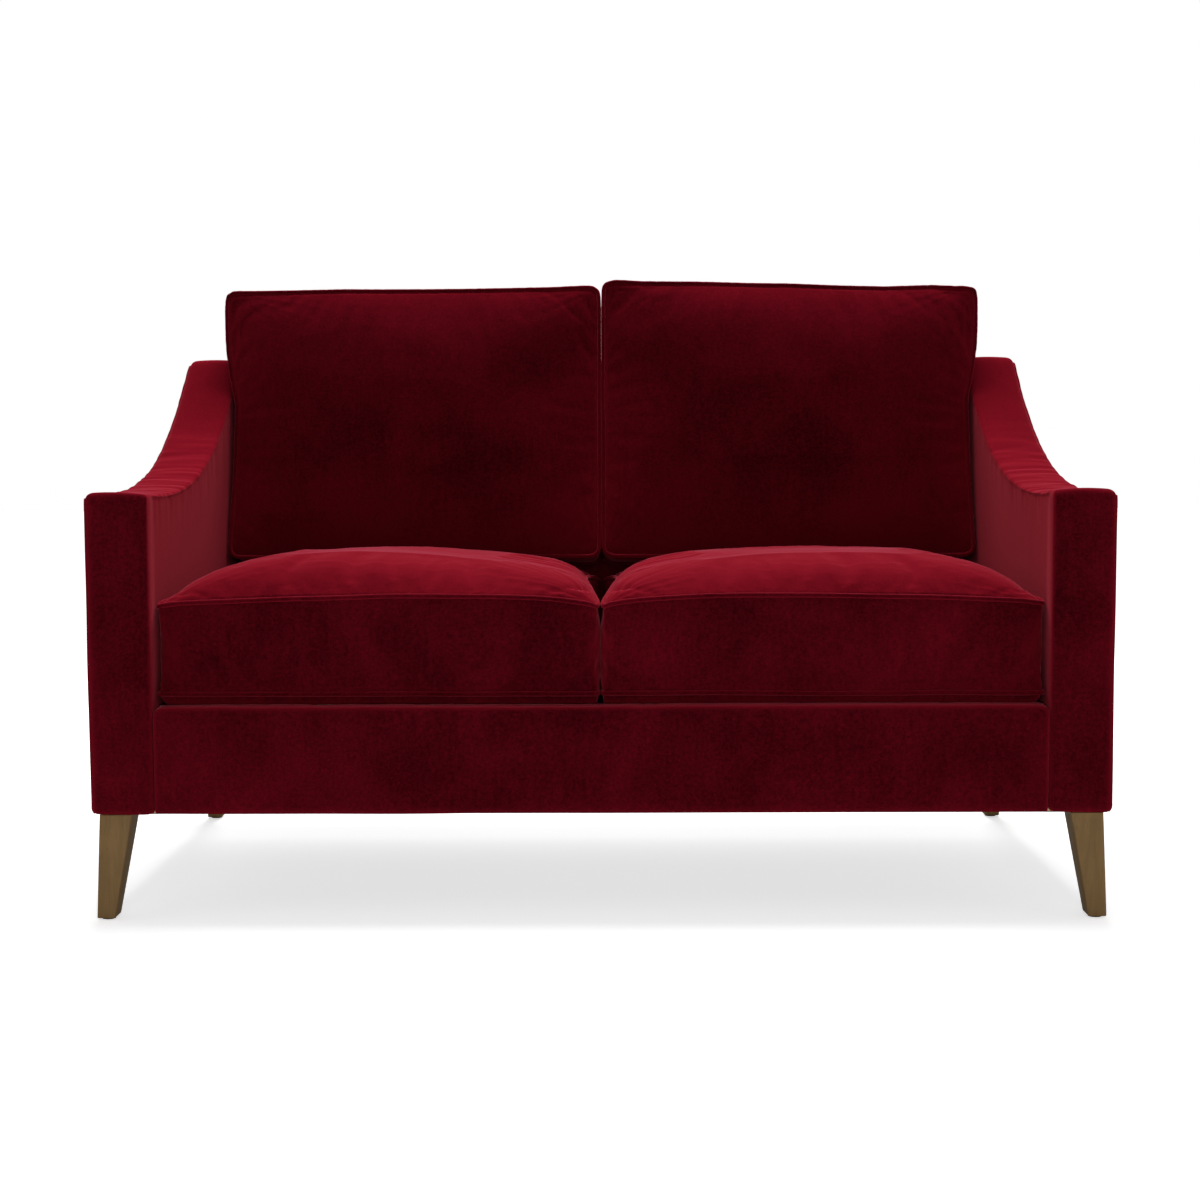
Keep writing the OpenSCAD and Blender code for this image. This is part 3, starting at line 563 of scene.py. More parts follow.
def arm_fill(seed):
    """How the padding fills the covers: crowned panels, pull lines over the scoop, and soft dents."""

    def rise(p, n):
        across = max(0.0, 1 - ((abs(p.x) - 0.704) / 0.046) ** 2)
        top = arm_top(p.y)
        inner = abs(n.x) > 0.7 and abs(p.x) < 0.7
        out = (0.0006 if inner else 0.0018) * waver(p.x * 7 + seed, p.y * 7, p.z * 7)
        if n.y < -0.7:
            out += 0.0022 * across + 0.0012 * waver(p.x * 30, seed, p.z * 9)
        elif n.z > 0.3 and top - p.z < 0.012:
            out += 0.0026 * across
            folds = waver(p.x * 9, p.y * 58 + seed, 0.4) + 0.5 * waver(p.x * 14, p.y * 120, seed)
            out += 0.0021 * folds * clamp((0.16 - p.y) / 0.12) * min(1.0, (p.y + half_deep) / 0.03)
        elif abs(n.x) > 0.7:
            up = clamp((top - p.z) / 0.09) * min(1.0, (p.z - foot_z) / 0.08)
            along = min(1.0, (p.y + half_deep) / 0.08)
            if inner:
                out -= 0.0020 * clamp(min(p.z - 0.322, p.y + 0.41) / 0.03)
            else:
                out += 0.0030 * up * along + 0.0022 * min(1.0, (p.y + half_deep) / 0.01)
            near = math.exp(-abs(top - p.z) / 0.035)
            out += 0.0011 * near * waver(p.y * 60 + seed, p.z * 12, 2.5)
        return out

    return rise


pad_core = add_block("pad_core", (0.672, -0.416, 0.100), (0.741, 0.500, top_z))
edit(pad_core)
inner_stations = [y for y in stations if -0.410 < y < half_deep]
cut_across(1, inner_stations)
for y in (-0.416, *inner_stations, 0.500):
    choose("VERT", lambda v: abs(v.co.y - y) < 0.0001)
    bpy.ops.transform.resize(
        value=(1, 1, (arm_top(y) - 0.0142 / arm_slope(y) - 0.100) / 0.757), center_override=(0, y, 0.100)
    )
done()

foam, foam_finish = new_material("upholstery_foam", 0.95, Specular_IOR_Level=0.15)
cells, inlet, outlet = node_group(
    "foam_cells", {"Light": (0.8, 0.75, 0.6, 1), "Dark": (0.6, 0.5, 0.3, 1), "Cell Size": 700.0})
place = object_place(cells)
pores = cells.nodes.new("ShaderNodeTexVoronoi")
feed(cells, pores.inputs["Vector"], place)
feed(cells, pores.inputs["Scale"], inlet.outputs["Cell Size"])
age = add_noise(cells, place, 6, 3)
share = add_sum(cells, (pores.outputs["Distance"], 0.45, 0), (age, 0.5, 0), held=True)
give(cells, outlet, share, inlet, "Dark", "Light", pores.outputs["Distance"])
coloured_by(foam, foam_finish, cells, 0.0008,
            Light=(0.86, 0.80, 0.62, 1), Dark=(0.62, 0.52, 0.33, 1), Cell_Size=650.0)


def dress(piece, material, body, slot_name, *nodes):
    """Gives a piece its finish, its body and the frame nodes that it stands for."""
    piece.data.materials.clear()
    piece.data.materials.append(material)
    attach(piece, body)
    if nodes:
        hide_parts(*nodes)


def make_wadding(body, name, hollow, node):
    """The padding under a cover: the same form, 2.2 mm smaller, with room for the frame inside it."""
    wadding = copy_of(body, name)
    press(wadding, lambda p, n: -0.0022)
    finish(wadding, ("BOOLEAN", {"object": hollow, "operation": "DIFFERENCE", "solver": "MANIFOLD"}))
    bpy.data.objects.remove(hollow)
    smooth(wadding)
    dress(wadding, foam, "frame", "foam", node)
    return wadding


for side, seed in (("right", 3.0), ("left", 11.0)):
    own = copy_of if side == "right" else mirrored
    body = own(arm, "arm")
    press(body, arm_fill(seed))
    wadding = make_wadding(body, f"arm_padding_{side}", own(pad_core, "core"), f"arm_pad_{side}")
    for panel, word, node, flat, area in (
        (0, "border", "arm_border", (0.115, 1.60), None),
        (1, "inside", "inside_arm_cover", (0.86, 0.70), 0.470),
        (2, "outside", "outside_arm_cover", (0.86, 0.70), 0.470),
    ):
        cloth = take_panel(body, panel, f"arm_{word}_{side}")
        dress(cloth, velvet, "frame", "velvet", f"{node}_{side}")
    bpy.data.objects.remove(body)
bpy.data.objects.remove(arm)
bpy.data.objects.remove(pad_core)

# BACK. Timber rails and webbing carry a pad of foam, covered in velvet that runs from the deck up
# the raked inside and over the top. The outside back is one flat velvet panel, sewn in blind along
# its edges and stapled underneath.

# The deck's height, and the depth at which the inside back meets it.
deck_z, back_foot_y = 0.318, 0.197


def inside_back(z):
    """Depth of the inside back at a height: 12 degrees of rake from its foot at the deck."""
    return back_foot_y + (z - deck_z) * math.tan(math.radians(12))


levels = between(deck_z, top_z, 0.0198)
back = add_block("back", (-arm_inner_x, back_foot_y, deck_z), (arm_inner_x, half_deep, top_z))
edit(back)
cut_across(0, between(-arm_inner_x, arm_inner_x, 0.0219)[1:-1])
cut_across(1, [0.265, 0.330, 0.380])
cut_across(2, levels[1:-1])
for z in levels:
    choose("VERT", lambda v: abs(v.co.z - z) < 0.0001)
    deep = outside_back(z) - 0.003 - inside_back(z)
    bpy.ops.transform.resize(value=(1, deep / 0.233, 1), center_override=(0, back_foot_y, z))
    bpy.ops.transform.translate(value=(0, inside_back(z) - back_foot_y, 0))


def on_back_top(p):
    return abs(p.z - top_z) < 0.0001


bevel(0.016, 4, lambda e: both(e, lambda p: on_back_top(p) and abs(p.y - inside_back(top_z)) < 0.0002))


def back_rim(e):
    """The edges beside the arms and along the top's rear, where the covers are sewn or tucked in."""
    if both(e, lambda p: on_back_top(p) and abs(p.y - outside_back(top_z) + 0.003) < 0.0002):
        return True
    flat = [abs(f.normal.x) > 0.9995 for f in e.link_faces]
    low = min(v.co.z for v in e.verts)
    rear = min(outside_back(v.co.z) - v.co.y for v in e.verts)
    if both(e, lambda p: abs(p.z - deck_z) < 0.0001) or len(flat) != 2 or flat[0] == flat[1]:
        return False
    return low < top_z and (rear > 0.005 or low > 0.8565)


bevel(0.005, 2, back_rim)
mark_panels(tucked_in)
done()
finish(back, rounded)


def back_fill(p, n):
    """A crowned top edge, with the webbing's straps showing faintly through the padding."""
    out = 0.0012 * waver(p.x * 6, p.y * 6, p.z * 6 + 5)
    if n.y < -0.5:
        edge = min(1.0, (arm_inner_x - abs(p.x)) / 0.1) * clamp((0.84 - p.z) / 0.1)
        out += 0.0008 * edge * math.sin(p.x * math.pi * 2 / 0.1645) + 0.0012 * edge - 0.0032
    elif n.z > 0.7:
        out += 0.0014 * waver(p.x * 40, p.y * 9, 1.5)
    return out


press(back, back_fill)
hollow = add_block("hollow", (-0.70, 0, 0.30), (0.70, 0.50, 0.843))
edit(hollow)
choose("VERT", lambda v: v.co.y < 0.1)
bpy.ops.transform.resize(value=(1, 0, 1), center_override=(0, 0, 0.3))
choose("VERT", lambda v: v.co.y < 0.1 and v.co.z > 0.5)
bpy.ops.transform.translate(value=(0, inside_back(0.843) + 0.0318, 0))
choose("VERT", lambda v: v.co.y < 0.1)
bpy.ops.transform.translate(value=(0, inside_back(0.30) + 0.0318, 0))
done()
make_wadding(back, "back_padding", hollow, "back_pad")
cloth = take_panel(back, 0, "inside_back")
dress(cloth, velvet, "frame", "velvet", "inside_back_cover")
bpy.data.objects.remove(back)

panel = add_block("outside_back", (-arm_outer_x, 0.426, foot_z), (arm_outer_x, half_deep, top_z))
edit(panel)
cut_across(0, between(-0.742, 0.742, 0.025))
cut_across(2, [0.166] + between(0.18, 0.836, 0.025) + [0.849])
bpy.ops.mesh.select_all(action="SELECT")
mesh = bmesh.from_edit_mesh(panel.data)
for z in sorted({round(v.co.z, 5) for v in mesh.verts}):
    choose("VERT", lambda v: abs(v.co.z - z) < 0.0001)
    bpy.ops.transform.translate(value=(0, outside_back(z) - half_deep, 0))
bevel(0.003, 3, lambda e: both(e, lambda p: p.y > outside_back(p.z) - 0.001) and any(
    f.normal.y < 0.7 for f in e.link_faces))
drop_faces(lambda f: f.normal.y < -0.9)
done()
finish(panel, rounded)


def outside_fill(p, n):
    """Stretched over the frame: nearly flat, standing off the timber by a millimetre or so."""
    side, end = arm_outer_x - abs(p.x), min(p.z - foot_z, top_z - p.z)
    inner = max(0.0, min(1.0, side / 0.05) * min(1.0, end / 0.05))
    out = inner * (0.0008 + 0.0009 * waver(p.x * 5, 3.3, p.z * 5))
    rim = math.exp(-min(side, end) / 0.02)
    return out + 0.0005 * rim * waver(p.x * 70, 8.1, p.z * 70)


press(panel, outside_fill)
finish(panel, ("SOLIDIFY", {"thickness": 0.0016, "offset": -1}))
smooth(panel, 60)
dress(panel, velvet, "frame", "velvet", "outside_back_cover")

# FRONT BORDER. A padded rail under the seat cushions, covered in velvet that rolls over its top
# edge to the deck and is tucked in beside the arms and stapled underneath.
border_w = 0.6579
border = add_block("front_border_block", (-border_w, -half_deep, foot_z), (border_w, -0.383, deck_z))
edit(border)
cut_across(0, between(-border_w, border_w, 0.0219)[1:-1])
cut_across(1, [-0.405])
cut_across(2, between(0.174, 0.300, 0.0158))
bevel(0.0085, 4, lambda e: both(e, lambda p: on_front(p) and p.z > 0.3179) or both(
    e, lambda p: abs(p.x) > 0.657 and on_front(p)))
bevel(0.0014, 1, lambda e: both(e, lambda p: p.z > 0.3179 and p.y > -0.384))
mark_panels(tucked_in)
done()
finish(border, rounded)


def border_fill(p, n):
    """A plump front, with slight pulls down from the rolled edge."""
    out = 0.0014 * waver(p.x * 5, 2.2, p.z * 7)
    if n.y < -0.6:
        ends = min(1.0, (0.657 - abs(p.x)) / 0.05)
        out += 0.0026 * ends * max(0.0, 1 - ((p.z - 0.238) / 0.08) ** 2)
        out += 0.0006 * waver(p.x * 45, 0.3, p.z * 8)
    elif n.z > 0.5:
        out += 0.0008 * waver(p.x * 35, p.y * 20, 0.7)
    return out if p.z < 0.3155 else min(out, 0.0004)


press(border, border_fill)
hollow = add_block("hollow", (-0.70, -0.4155, 0.10), (0.70, -0.30, 0.302))
make_wadding(border, "front_border_padding", hollow, "front_border_pad")
cloth = take_panel(border, 0, "front_border")
dress(cloth, velvet, "frame", "velvet", "front_border_cover")
bpy.data.objects.remove(border)

# SEAT DECK. A slab of firm foam on the springs, under a plain woven deck cloth of the same claret,
# sewn to the front border and tucked in behind.
deck_cloth, finish_node = new_material("woven_deck_cloth", 0.95, Specular_IOR_Level=0.03)
weave, inlet, outlet = node_group(
    "plain_weave", {"Light": (0.5, 0.5, 0.5, 1), "Dark": (0.2, 0.2, 0.2, 1), "Thread": 4200.0})
place = object_place(weave)
x, y, z = add_axes(weave, place)
thread = inlet.outputs["Thread"]
warp = add_math(weave, "SINE", add_math(weave, "MULTIPLY", x, thread))
weft = add_math(weave, "ADD", add_math(weave, "MULTIPLY", y, thread), add_math(weave, "MULTIPLY", z, thread))
crossed = add_math(weave, "MULTIPLY", warp, add_math(weave, "SINE", weft))
height = add_math(weave, "ADD", add_math(weave, "MULTIPLY", crossed, 0.35), 0.5, True)
slubs = add_noise(weave, add_stretch(weave, place, (40, 260, 260)), 1.0, 2)
share = add_sum(weave, (height, 0.55, 0), (slubs, 0.4, 0), held=True)
give(weave, outlet, share, inlet, "Dark", "Light", height)
coloured_by(deck_cloth, finish_node, weave, 0.0004,
            Light=(0.060, 0.0030, 0.008, 1), Dark=(0.018, 0.0010, 0.003, 1))

slab = add_block("deck_padding", (-border_w, -0.3825, 0.3022), (border_w, 0.2285, 0.3159))
edit(slab)
cut_across(0, between(-0.63, 0.63, 0.04))
cut_across(1, between(-0.36, 0.205, 0.04))
bevel(0.003, 2, sharp)
done()
press(slab, lambda p, n: -0.0003 + 0.0005 * waver(p.x * 9, p.y * 9, 4))
smooth(slab)
dress(slab, foam, "frame", "foam", "seat_deck_pad")

deck = add_block("seat_deck", (-0.6574, -0.3828, 0.3163), (0.6574, 0.2288, 0.3179))
edit(deck)
drop_faces(lambda f: f.normal.z < 0.9)
cut_across(0, between(-0.6574, 0.6574, 0.015)[1:-1])
cut_across(1, between(-0.3828, 0.2288, 0.015)[1:-1])
done()


def deck_slack(p, n):
    """Held down along its edges, with faint ridges over the eight springs."""
    inner = clamp(min(0.657 - abs(p.x), p.y + 0.383, 0.229 - p.y) / 0.04)
    ridge = 0.5 + 0.5 * math.cos(p.x * 2 * math.pi / 0.161)
    pull = 0.5 + 0.5 * waver(p.x * 30, p.y * 30, 6)
    return -0.0005 * ridge - 0.0004 * inner - 0.0003 * (1 - inner) * pull


press(deck, deck_slack)
finish(deck, ("SOLIDIFY", {"thickness": 0.0009, "offset": -1}))
smooth(deck)
dress(deck, deck_cloth, "frame", "deck_cloth", "seat_deck_cover")

# SEAT CUSHIONS. Two loose box cushions lie on the deck, each a block of foam wrapped in wadding. The
# velvet cover has a border all round, piping in both of its seams, and a zip across the rear.


def cushion_point(form, p):
    """Where a point of a plain block comes to lie on the filled cushion, crowned and drawn in."""
    u, v = p.x / form["half_w"], p.y / form["half_l"]
    down = 0.5 - p.z / form["border"]
    slope, curve, steep = form["inner_fall" if u < 0 else "outer_fall"]
    share = 1 - slope * abs(u) ** curve - (1 - slope) * abs(u) ** steep
    share *= 1 - abs(v) ** form["low_fall" if v < 0 else "high_fall"]
    drawn = form["low_in"] if v < 0 else form["high_in"]
    swell = 4 * down * (1 - down)
    if down > 0.9999:
        share = (1 - abs(u) ** (50 if u > 0 else 200)) * (1 - abs(v) ** 60)
    side_in = form["side_in"] * (1 + u) / 2
    apart = form["inner_in"] * (1 - u) / 2 * (1 - down) * (1 + v) * (1 - v**6)
    x = u * (form["half_w"] - side_in * (1 - v * v) - apart)
    y = v * (form["half_l"] - drawn * (1 - u * u))
    if abs(u) > 0.9999:
        x += math.copysign(side_in * (1 - v * v) * swell, u)
    if abs(v) > 0.9999:
        y += math.copysign(drawn * (1 - u * u) * swell, v)
    free = form["free_from"] + form["free_lean"] * down
    if form["flare"] and v > free:
        t = min(1.0, (v - free) / 0.55)
        x += form["flare"] * t * (2 - t) * (1 + u) / 2
    z = p.z
    if down < 0.0001:
        z += form["crown"] * share * (1 + 0.06 * u)
    elif down > 0.9999:
        z -= form["belly"] * share
    bend = form["corner"] + form["slack_corner"] * swell * (0.65 + 0.35 * u)
    across = 1 - (form["half_w"] - abs(p.x)) / bend
    along = 1 - (form["half_l"] - abs(p.y)) / bend
    if across > 0 and along > 0:
        inward = (1 - max(across, along) / math.hypot(across, along)) * bend
        x -= math.copysign(across * inward, p.x)
        y -= math.copysign(along * inward, p.y)
    return Vector((x, y, z))


def closer_to_ends(half, count):
    """Cuts from one end to the other that lie closer together towards both ends."""
    return [half * math.sin(math.pi * (i / count - 0.5)) for i in range(count + 1)]


def seam_walk(form, level, step=0.004):
    """Points round a seam of a cushion, anticlockwise from above; level is 1 for the top seam."""
    w, l = form["half_w"], form["half_l"]
    corners = [(-w, -l), (w, -l), (w, l), (-w, l), (-w, -l)]
    walk = []
    for (x0, y0), (x1, y1) in zip(corners, corners[1:]):
        count = round(math.hypot(x1 - x0, y1 - y0) / step)
        for i in range(count):
            t = i / count
            flat = Vector((x0 + (x1 - x0) * t, y0 + (y1 - y0) * t, level * form["border"] / 2))
            walk.append(cushion_point(form, flat))
    for _ in range(4):
        walk = [(walk[i - 1] + walk[i] * 2 + walk[(i + 1) % len(walk)]) / 4 for i in range(len(walk))]
    return walk


def seam_tree(form):
    """Both seams of a cushion as one tree of points, to find how far a place is from its seam."""
    walks = [seam_walk(form, 1), seam_walk(form, -1)]
    tree = kdtree.KDTree(sum(map(len, walks)))
    for i, p in enumerate(walks[0] + walks[1]):
        tree.insert(p, i)
    tree.balance()
    return tree


def filled_shell(name, form, creased):
    """The closed skin of a filled cushion, blown up as cloth that is held along its seams."""
    w, l, b = form["half_w"], form["half_l"], form["border"]
    shell = add_block(name, (-w, -l, -b / 2), (w, l, b / 2))
    edit(shell)
    cut_across(0, closer_to_ends(w, 30)[1:-1])
    cut_across(1, closer_to_ends(l, 28)[1:-1])
    cut_across(2, between(-b / 2, b / 2, 0.0225)[1:-1])
    done()
    for v in shell.data.vertices:
        v.co = cushion_point(form, v.co)
    finish(shell, rounded, ("REMESH", {"mode": "VOXEL", "voxel_size": 0.007}))
    tree = seam_tree(form)
    start = np.array([v.co for v in shell.data.vertices])
    seam_gap = np.array([tree.find(v.co)[2] for v in shell.data.vertices])
    held = shell.vertex_groups.new(name="held")
    for i, gap in enumerate(seam_gap):
        held.add([i], clamp((0.014 - gap) / 0.006), "REPLACE")
    cloth = shell.modifiers.new("cloth", "CLOTH")
    cloth.settings.quality = 5
    cloth.settings.mass = 0.3
    cloth.settings.tension_stiffness = cloth.settings.compression_stiffness = 12
    cloth.settings.shear_stiffness = 4
    cloth.settings.bending_stiffness = 0.25
    cloth.settings.use_pressure = True
    cloth.settings.uniform_pressure_force = 4
    cloth.settings.shrink_min = -0.025
    cloth.settings.vertex_group_mass = "held"
    cloth.settings.effector_weights.gravity = 0
    cloth.collision_settings.use_collision = False
    cloth.point_cache.frame_start, cloth.point_cache.frame_end = 1, 20
    for moment in range(1, 21):
        scene.frame_set(moment)
    finish(shell)
    bpy.ops.object.modifier_apply(modifier=cloth.name)
    scene.frame_set(1)
    shell.vertex_groups.clear()
    swollen = np.array([v.co for v in shell.data.vertices])
    moved = swollen - start
    size = np.linalg.norm(moved, axis=1, keepdims=True)
    moved *= np.minimum(1, 0.024 / np.maximum(size, 1e-9))
    edges = np.array([e.vertices[:] for e in shell.data.edges])
    count = np.bincount(edges.ravel(), minlength=len(start))[:, None]
    broad = moved.copy()
    for _ in range(70):
        total = np.zeros_like(broad)
        for k in range(3):
            total[:, k] = np.bincount(edges[:, 0], broad[edges[:, 1], k], len(start))
            total[:, k] += np.bincount(edges[:, 1], broad[edges[:, 0], k], len(start))
        broad = 0.4 * broad + 0.6 * total / count
    creased = creased * np.clip((start[:, 2:] + b / 2) / 0.03, 0, 1)
    kept = (moved - broad) * creased + broad * 0.12
    for v, p in zip(shell.data.vertices, start + kept):
        v.co = p
    shell.data.update()
    finish(shell, rounded)
    return shell


def fan(p, corner, seed, folds, reach):
    """Creases that spread out from a corner of a cushion's face."""
    x, y = p.x - corner[0], p.y - corner[1]
    away = math.hypot(x, y)
    turn = math.atan2(y, x)
    ridge = 1 - 2 * abs(waver(turn * folds, seed, away * 5))
    return ridge * math.exp(-away / reach) * min(1.0, away / 0.03)


def settle(form, seed, p):
    """How a cushion has settled: its seams wander, and its corners drop."""
    u, v = p.x / form["half_w"], p.y / form["half_l"]
    up = clamp(0.5 + p.z / form["border"])
    wander = noise.noise_vector(Vector((p.x * 9 + seed, p.y * 9, p.z * 9)))
    slow = noise.noise_vector(Vector((p.x * 3.5, p.y * 3.5 + seed, p.z * 5)))
    bow = form["bow"] * (1 - u * u) * (1 - 0.5 * u)
    bow -= form["drop"] * abs(u) ** 8 * abs(v) ** 4 * (1.5 - 0.5 * u)
    near = math.exp(-max(0.0, p.z - form["border"] / 2) / 0.022)
    out = Vector((wander.x * 0.0007, wander.y * 0.0007, wander.z * 0.0016 + up * near * bow))
    out.y += float(np.interp(u, *zip(*form["lift"]))) * max(0.0, v) ** 2
    return out + Vector((0, 0, slow.z * form["dent"] * up * (1 - near)))


def wrinkled(cover, form, seed, zip_end):
    """Seam grooves, puckers, corner creases and the slot of the zip, on a filled cover."""
    tree = seam_tree(form)
    corner_w, corner_l = form["half_w"] - 0.004, form["half_l"] - 0.004
    for v in cover.data.vertices:
        nearest, _, gap = tree.find(v.co)
        if gap < 0.009:
            v.co += (nearest - v.co) * 0.75 * (1 - gap / 0.009)
    cover.data.update()

    def rise(p, n):
        _, at, gap = tree.find(p)
        out = -0.0018 * math.exp(-(((gap - 0.0045) / 0.003) ** 2)) - 0.0008 * math.exp(-((gap / 0.002) ** 2))
        pucker = waver(at * 0.30, seed, gap * 20) + 0.6 * waver(at * 0.75, 3.0, seed)
        out += form["pucker"] * pucker * math.exp(-gap / 0.011) * min(1.0, gap / 0.004)
        if n.z > 0.35:
            inner, outer = form["creases"]
            for side, depth in ((-1, inner), (1, outer)):
                for end in (-1, 1):
                    out += depth * fan(p, (side * corner_w, end * corner_l), seed + side * 2 + end, 7, 0.10)
        elif abs(n.z) < 0.5:
            ends = min(1.0, gap / 0.02)
            out += ends * 0.0011 * waver(p.x * 14 + seed, p.y * 14, p.z * 24)
        return out

    press(cover, rise)
    for v in cover.data.vertices:
        v.co += settle(form, seed, v.co)
        if v.co.y * zip_end > form["half_l"] - 0.015 and abs(v.co.x) < 0.2615 and abs(v.co.z) < 0.0125:
            deep = -0.0028 if abs(v.co.z) < 0.0052 else clamp(abs(v.co.y) - form["zip_face"], -0.0003, 0.0007)
            v.co.y = zip_end * (form["zip_face"] + deep)


def stay_inside(cover, limits):
    """Flattens a cover where it meets what it rests on: limits are an axis, a sign and a place."""
    for v in cover.data.vertices:
        for axis, sign, place in limits:
            if v.co[axis] * sign > place:
                v.co[axis] = place * sign


def skin_of(cover):
    """The cover's surface as a tree, to lay the piping on."""
    mesh = cover.data
    return BVHTree.FromPolygons([v.co for v in mesh.vertices], [f.vertices for f in mesh.polygons])


def piping(name, form, seed, level, skin):
    """A piped seam: a thin cord in velvet cut on the bias, sewn in between two panels."""
    walk = seam_walk(form, level)
    line = bpy.data.curves.new(name, "CURVE")
    line.dimensions = "3D"
    line.bevel_depth = 0.0036
    line.bevel_resolution = 2
    spline = line.splines.new("POLY")
    spline.points.add(len(walk) - 1)
    spline.use_cyclic_u = True
    for i, p in enumerate(walk):
        along = walk[(i + 1) % len(walk)] - walk[i - 1]
        out = Vector((along.y, -along.x, 0)).normalized()
        p = p - out * 0.0012 + Vector((0, 0, level * 0.0006)) + settle(form, seed, p)
        near, _, _, gap = skin.find_nearest(p)
        p = near + (p - near) * min(1.0, 0.002 / max(gap, 1e-6))
        spline.points[i].co = (p.x, p.y, p.z, 1)
        spline.points[i].radius = 1 + 0.10 * waver(i * 0.45, seed, level)
    tube = bpy.data.objects.new(name, line)
    scene.collection.objects.link(tube)
    alone(tube)
    bpy.ops.object.convert(target="MESH")
    tube = bpy.context.object
    smooth(tube, 80)
    return tube


def zip_parts(side_name, form, zip_end):
    """A zip's woven tape, 24 mm wide, and its two rows of teeth, which mesh along its middle."""
    face = form["zip_face"]
    low, high = (-0.2595, face - 0.0018, -0.0118), (0.2595, face - 0.0010, 0.0118)
    tape = add_block(f"{side_name}_zip_tape", low, high)
    edit(tape)
    cut_across(0, between(-0.2595, 0.2595, 0.03)[1:-1])
    cut_across(2, [-0.008, -0.004, 0.004, 0.008])
    bevel(0.0002, 1, sharp)
    done()
    low, high = (-0.25875, face - 0.0010, -0.0017), (-0.25755, face + 0.0006, 0.0004)
    tooth = add_block(f"{side_name}_zip_teeth", low, high)
    edit(tooth)
    choose("FACE", lambda f: f.normal.z > 0.9)
    bpy.ops.transform.resize(value=(0.6, 1, 1), center_override=(-0.25815, face, 0.0004))
    bevel(0.0003, 1, lambda e: both(e, lambda p: p.y > face + 0.0005))
    done()
    finish(tooth, ("ARRAY", {"count": 216, "use_relative_offset": False, "use_constant_offset": True,
                             "constant_offset_displace": (0.0024, 0, 0)}))
    twin = copy_of(tooth, "other_row")
    twin.data.transform(Matrix.Translation((0.0012, 0, 0)) @ Matrix.Scale(-1, 4, (0, 0, 1)))
    outward(twin)
    alone(tooth)
    twin.select_set(True)
    bpy.ops.object.join()
    if zip_end < 0:
        for piece in (tape, tooth):
            piece.data.transform(Matrix.Rotation(math.pi, 4, "X"))
    return tape, tooth


def put(piece, place):
    """Moves a finished piece's mesh to its place; a mirrored one gets its faces outward again."""
    piece.data.transform(place)
    if place.determinant() < 0:
        outward(piece)
    piece.data.update()


def cushion_core_block(name, low, high, round_off):
    """A cut block of foam, or a bag of fibre, with softened edges and slightly full faces."""
    core = add_block(name, low, high)
    edit(core)
    cut_across(0, between(low[0], high[0], 0.06)[1:-1])
    cut_across(1, between(low[1], high[1], 0.06)[1:-1])
    cut_across(2, between(low[2], high[2], 0.03)[1:-1])
    bevel(round_off, 3, sharp)
    done()
    finish(core, rounded)
    press(core, lambda p, n: 0.0012 * waver(p.x * 11, p.y * 11, p.z * 11) - 0.0012)
    smooth(core)
    return core


tape_cloth, finish_node = new_material("zip_tape_cloth", 0.85, Sheen_Weight=0.2, Sheen_Roughness=0.5)
coloured_by(tape_cloth, finish_node, weave, 0.0003,
            Light=(0.10, 0.007, 0.015, 1), Dark=(0.035, 0.002, 0.006, 1), Thread=5200.0)

seat_form = {
    "half_w": 0.3270, "half_l": 0.2975, "corner": 0.005, "slack_corner": 0.030, "border": 0.135,
    "crown": 0.0585, "belly": 0.026, "bow": 0.0085, "drop": 0.0032, "dent": 0.007,
    "side_in": 0.005, "inner_in": 0.016, "low_in": 0.005, "high_in": 0.0015,
    "flare": 0.0, "free_from": 1.0, "free_lean": 0.0, "lift": ((0, 0.0),),
    "outer_fall": (0.38, 2, 9), "inner_fall": (0.40, 1.6, 16), "low_fall": 6, "high_fall": 4,
    "pucker": 0.0011, "creases": (0.0026, 0.0014), "zip_face": 0.2985,
}
# A cushion's middle lies this far from the settee's, and its inner side stops just short of its twin.
middle_x = 0.329
touching = (0, -1, middle_x - 0.0002)


def make_cushion(kind, name, form, seed, place, zip_end, cloth, cover, limits, seams, core, core_node):
    """Creases a filled cover, pipes and zips it, and puts it in place with its core.

    Limits are the planes that it rests on, seams are the names of its upper and lower piped seam, and core
    is the core's stuff, corners and rounding."""
    cushion = f"{kind}_cushion_{name}"
    wrinkled(cover, form, seed, zip_end)
    stay_inside(cover, [*limits, touching])
    skin = skin_of(cover)
    put(cover, place)
    smooth(cover, 70)
    dress(cover, cloth, cushion, "velvet", f"{kind}_cushion_cover_{name}")
    for level, seam in zip((1, -1), seams):
        cord = piping(f"{cushion}_{seam}_piping", form, seed, level, skin)
        stay_inside(cord, [touching])
        put(cord, place)
        dress(cord, cloth, cushion, "velvet")
    stuff, *block = core
    core = cushion_core_block(f"{cushion}_{stuff}", *block)
    put(core, place)
    dress(core, foam, cushion, "foam", f"{kind}_cushion_{core_node}_{name}")
    tape, teeth = zip_parts(cushion, form, zip_end)
    put(tape, place)
    dress(tape, tape_cloth, cushion, "zip_tape", f"{kind}_cushion_zip_{name}")
    put(teeth, place)
    dress(teeth, tape_cloth, cushion, "zip_tape")


master = filled_shell("seat_cushion_shell", seat_form, 0.8)
for side, name, seed in ((-1, "left", 11.3), (1, "right", 4.7)):
    place = Matrix.Scale(side, 4, (1, 0, 0)) @ Matrix.Translation((middle_x, -0.10202, 0.4018))
    cover = copy_of(master, f"seat_cushion_{name}_velvet")
    make_cushion(
        "seat", name, seat_form, seed, place, 1, velvet, cover, [(2, -1, 0.0834)], ("top", "bottom"),
        ("foam", (-0.282, -0.246, -0.0621), (0.282, 0.2925, 0.0621), 0.009), "core",
    )
bpy.data.objects.remove(master)

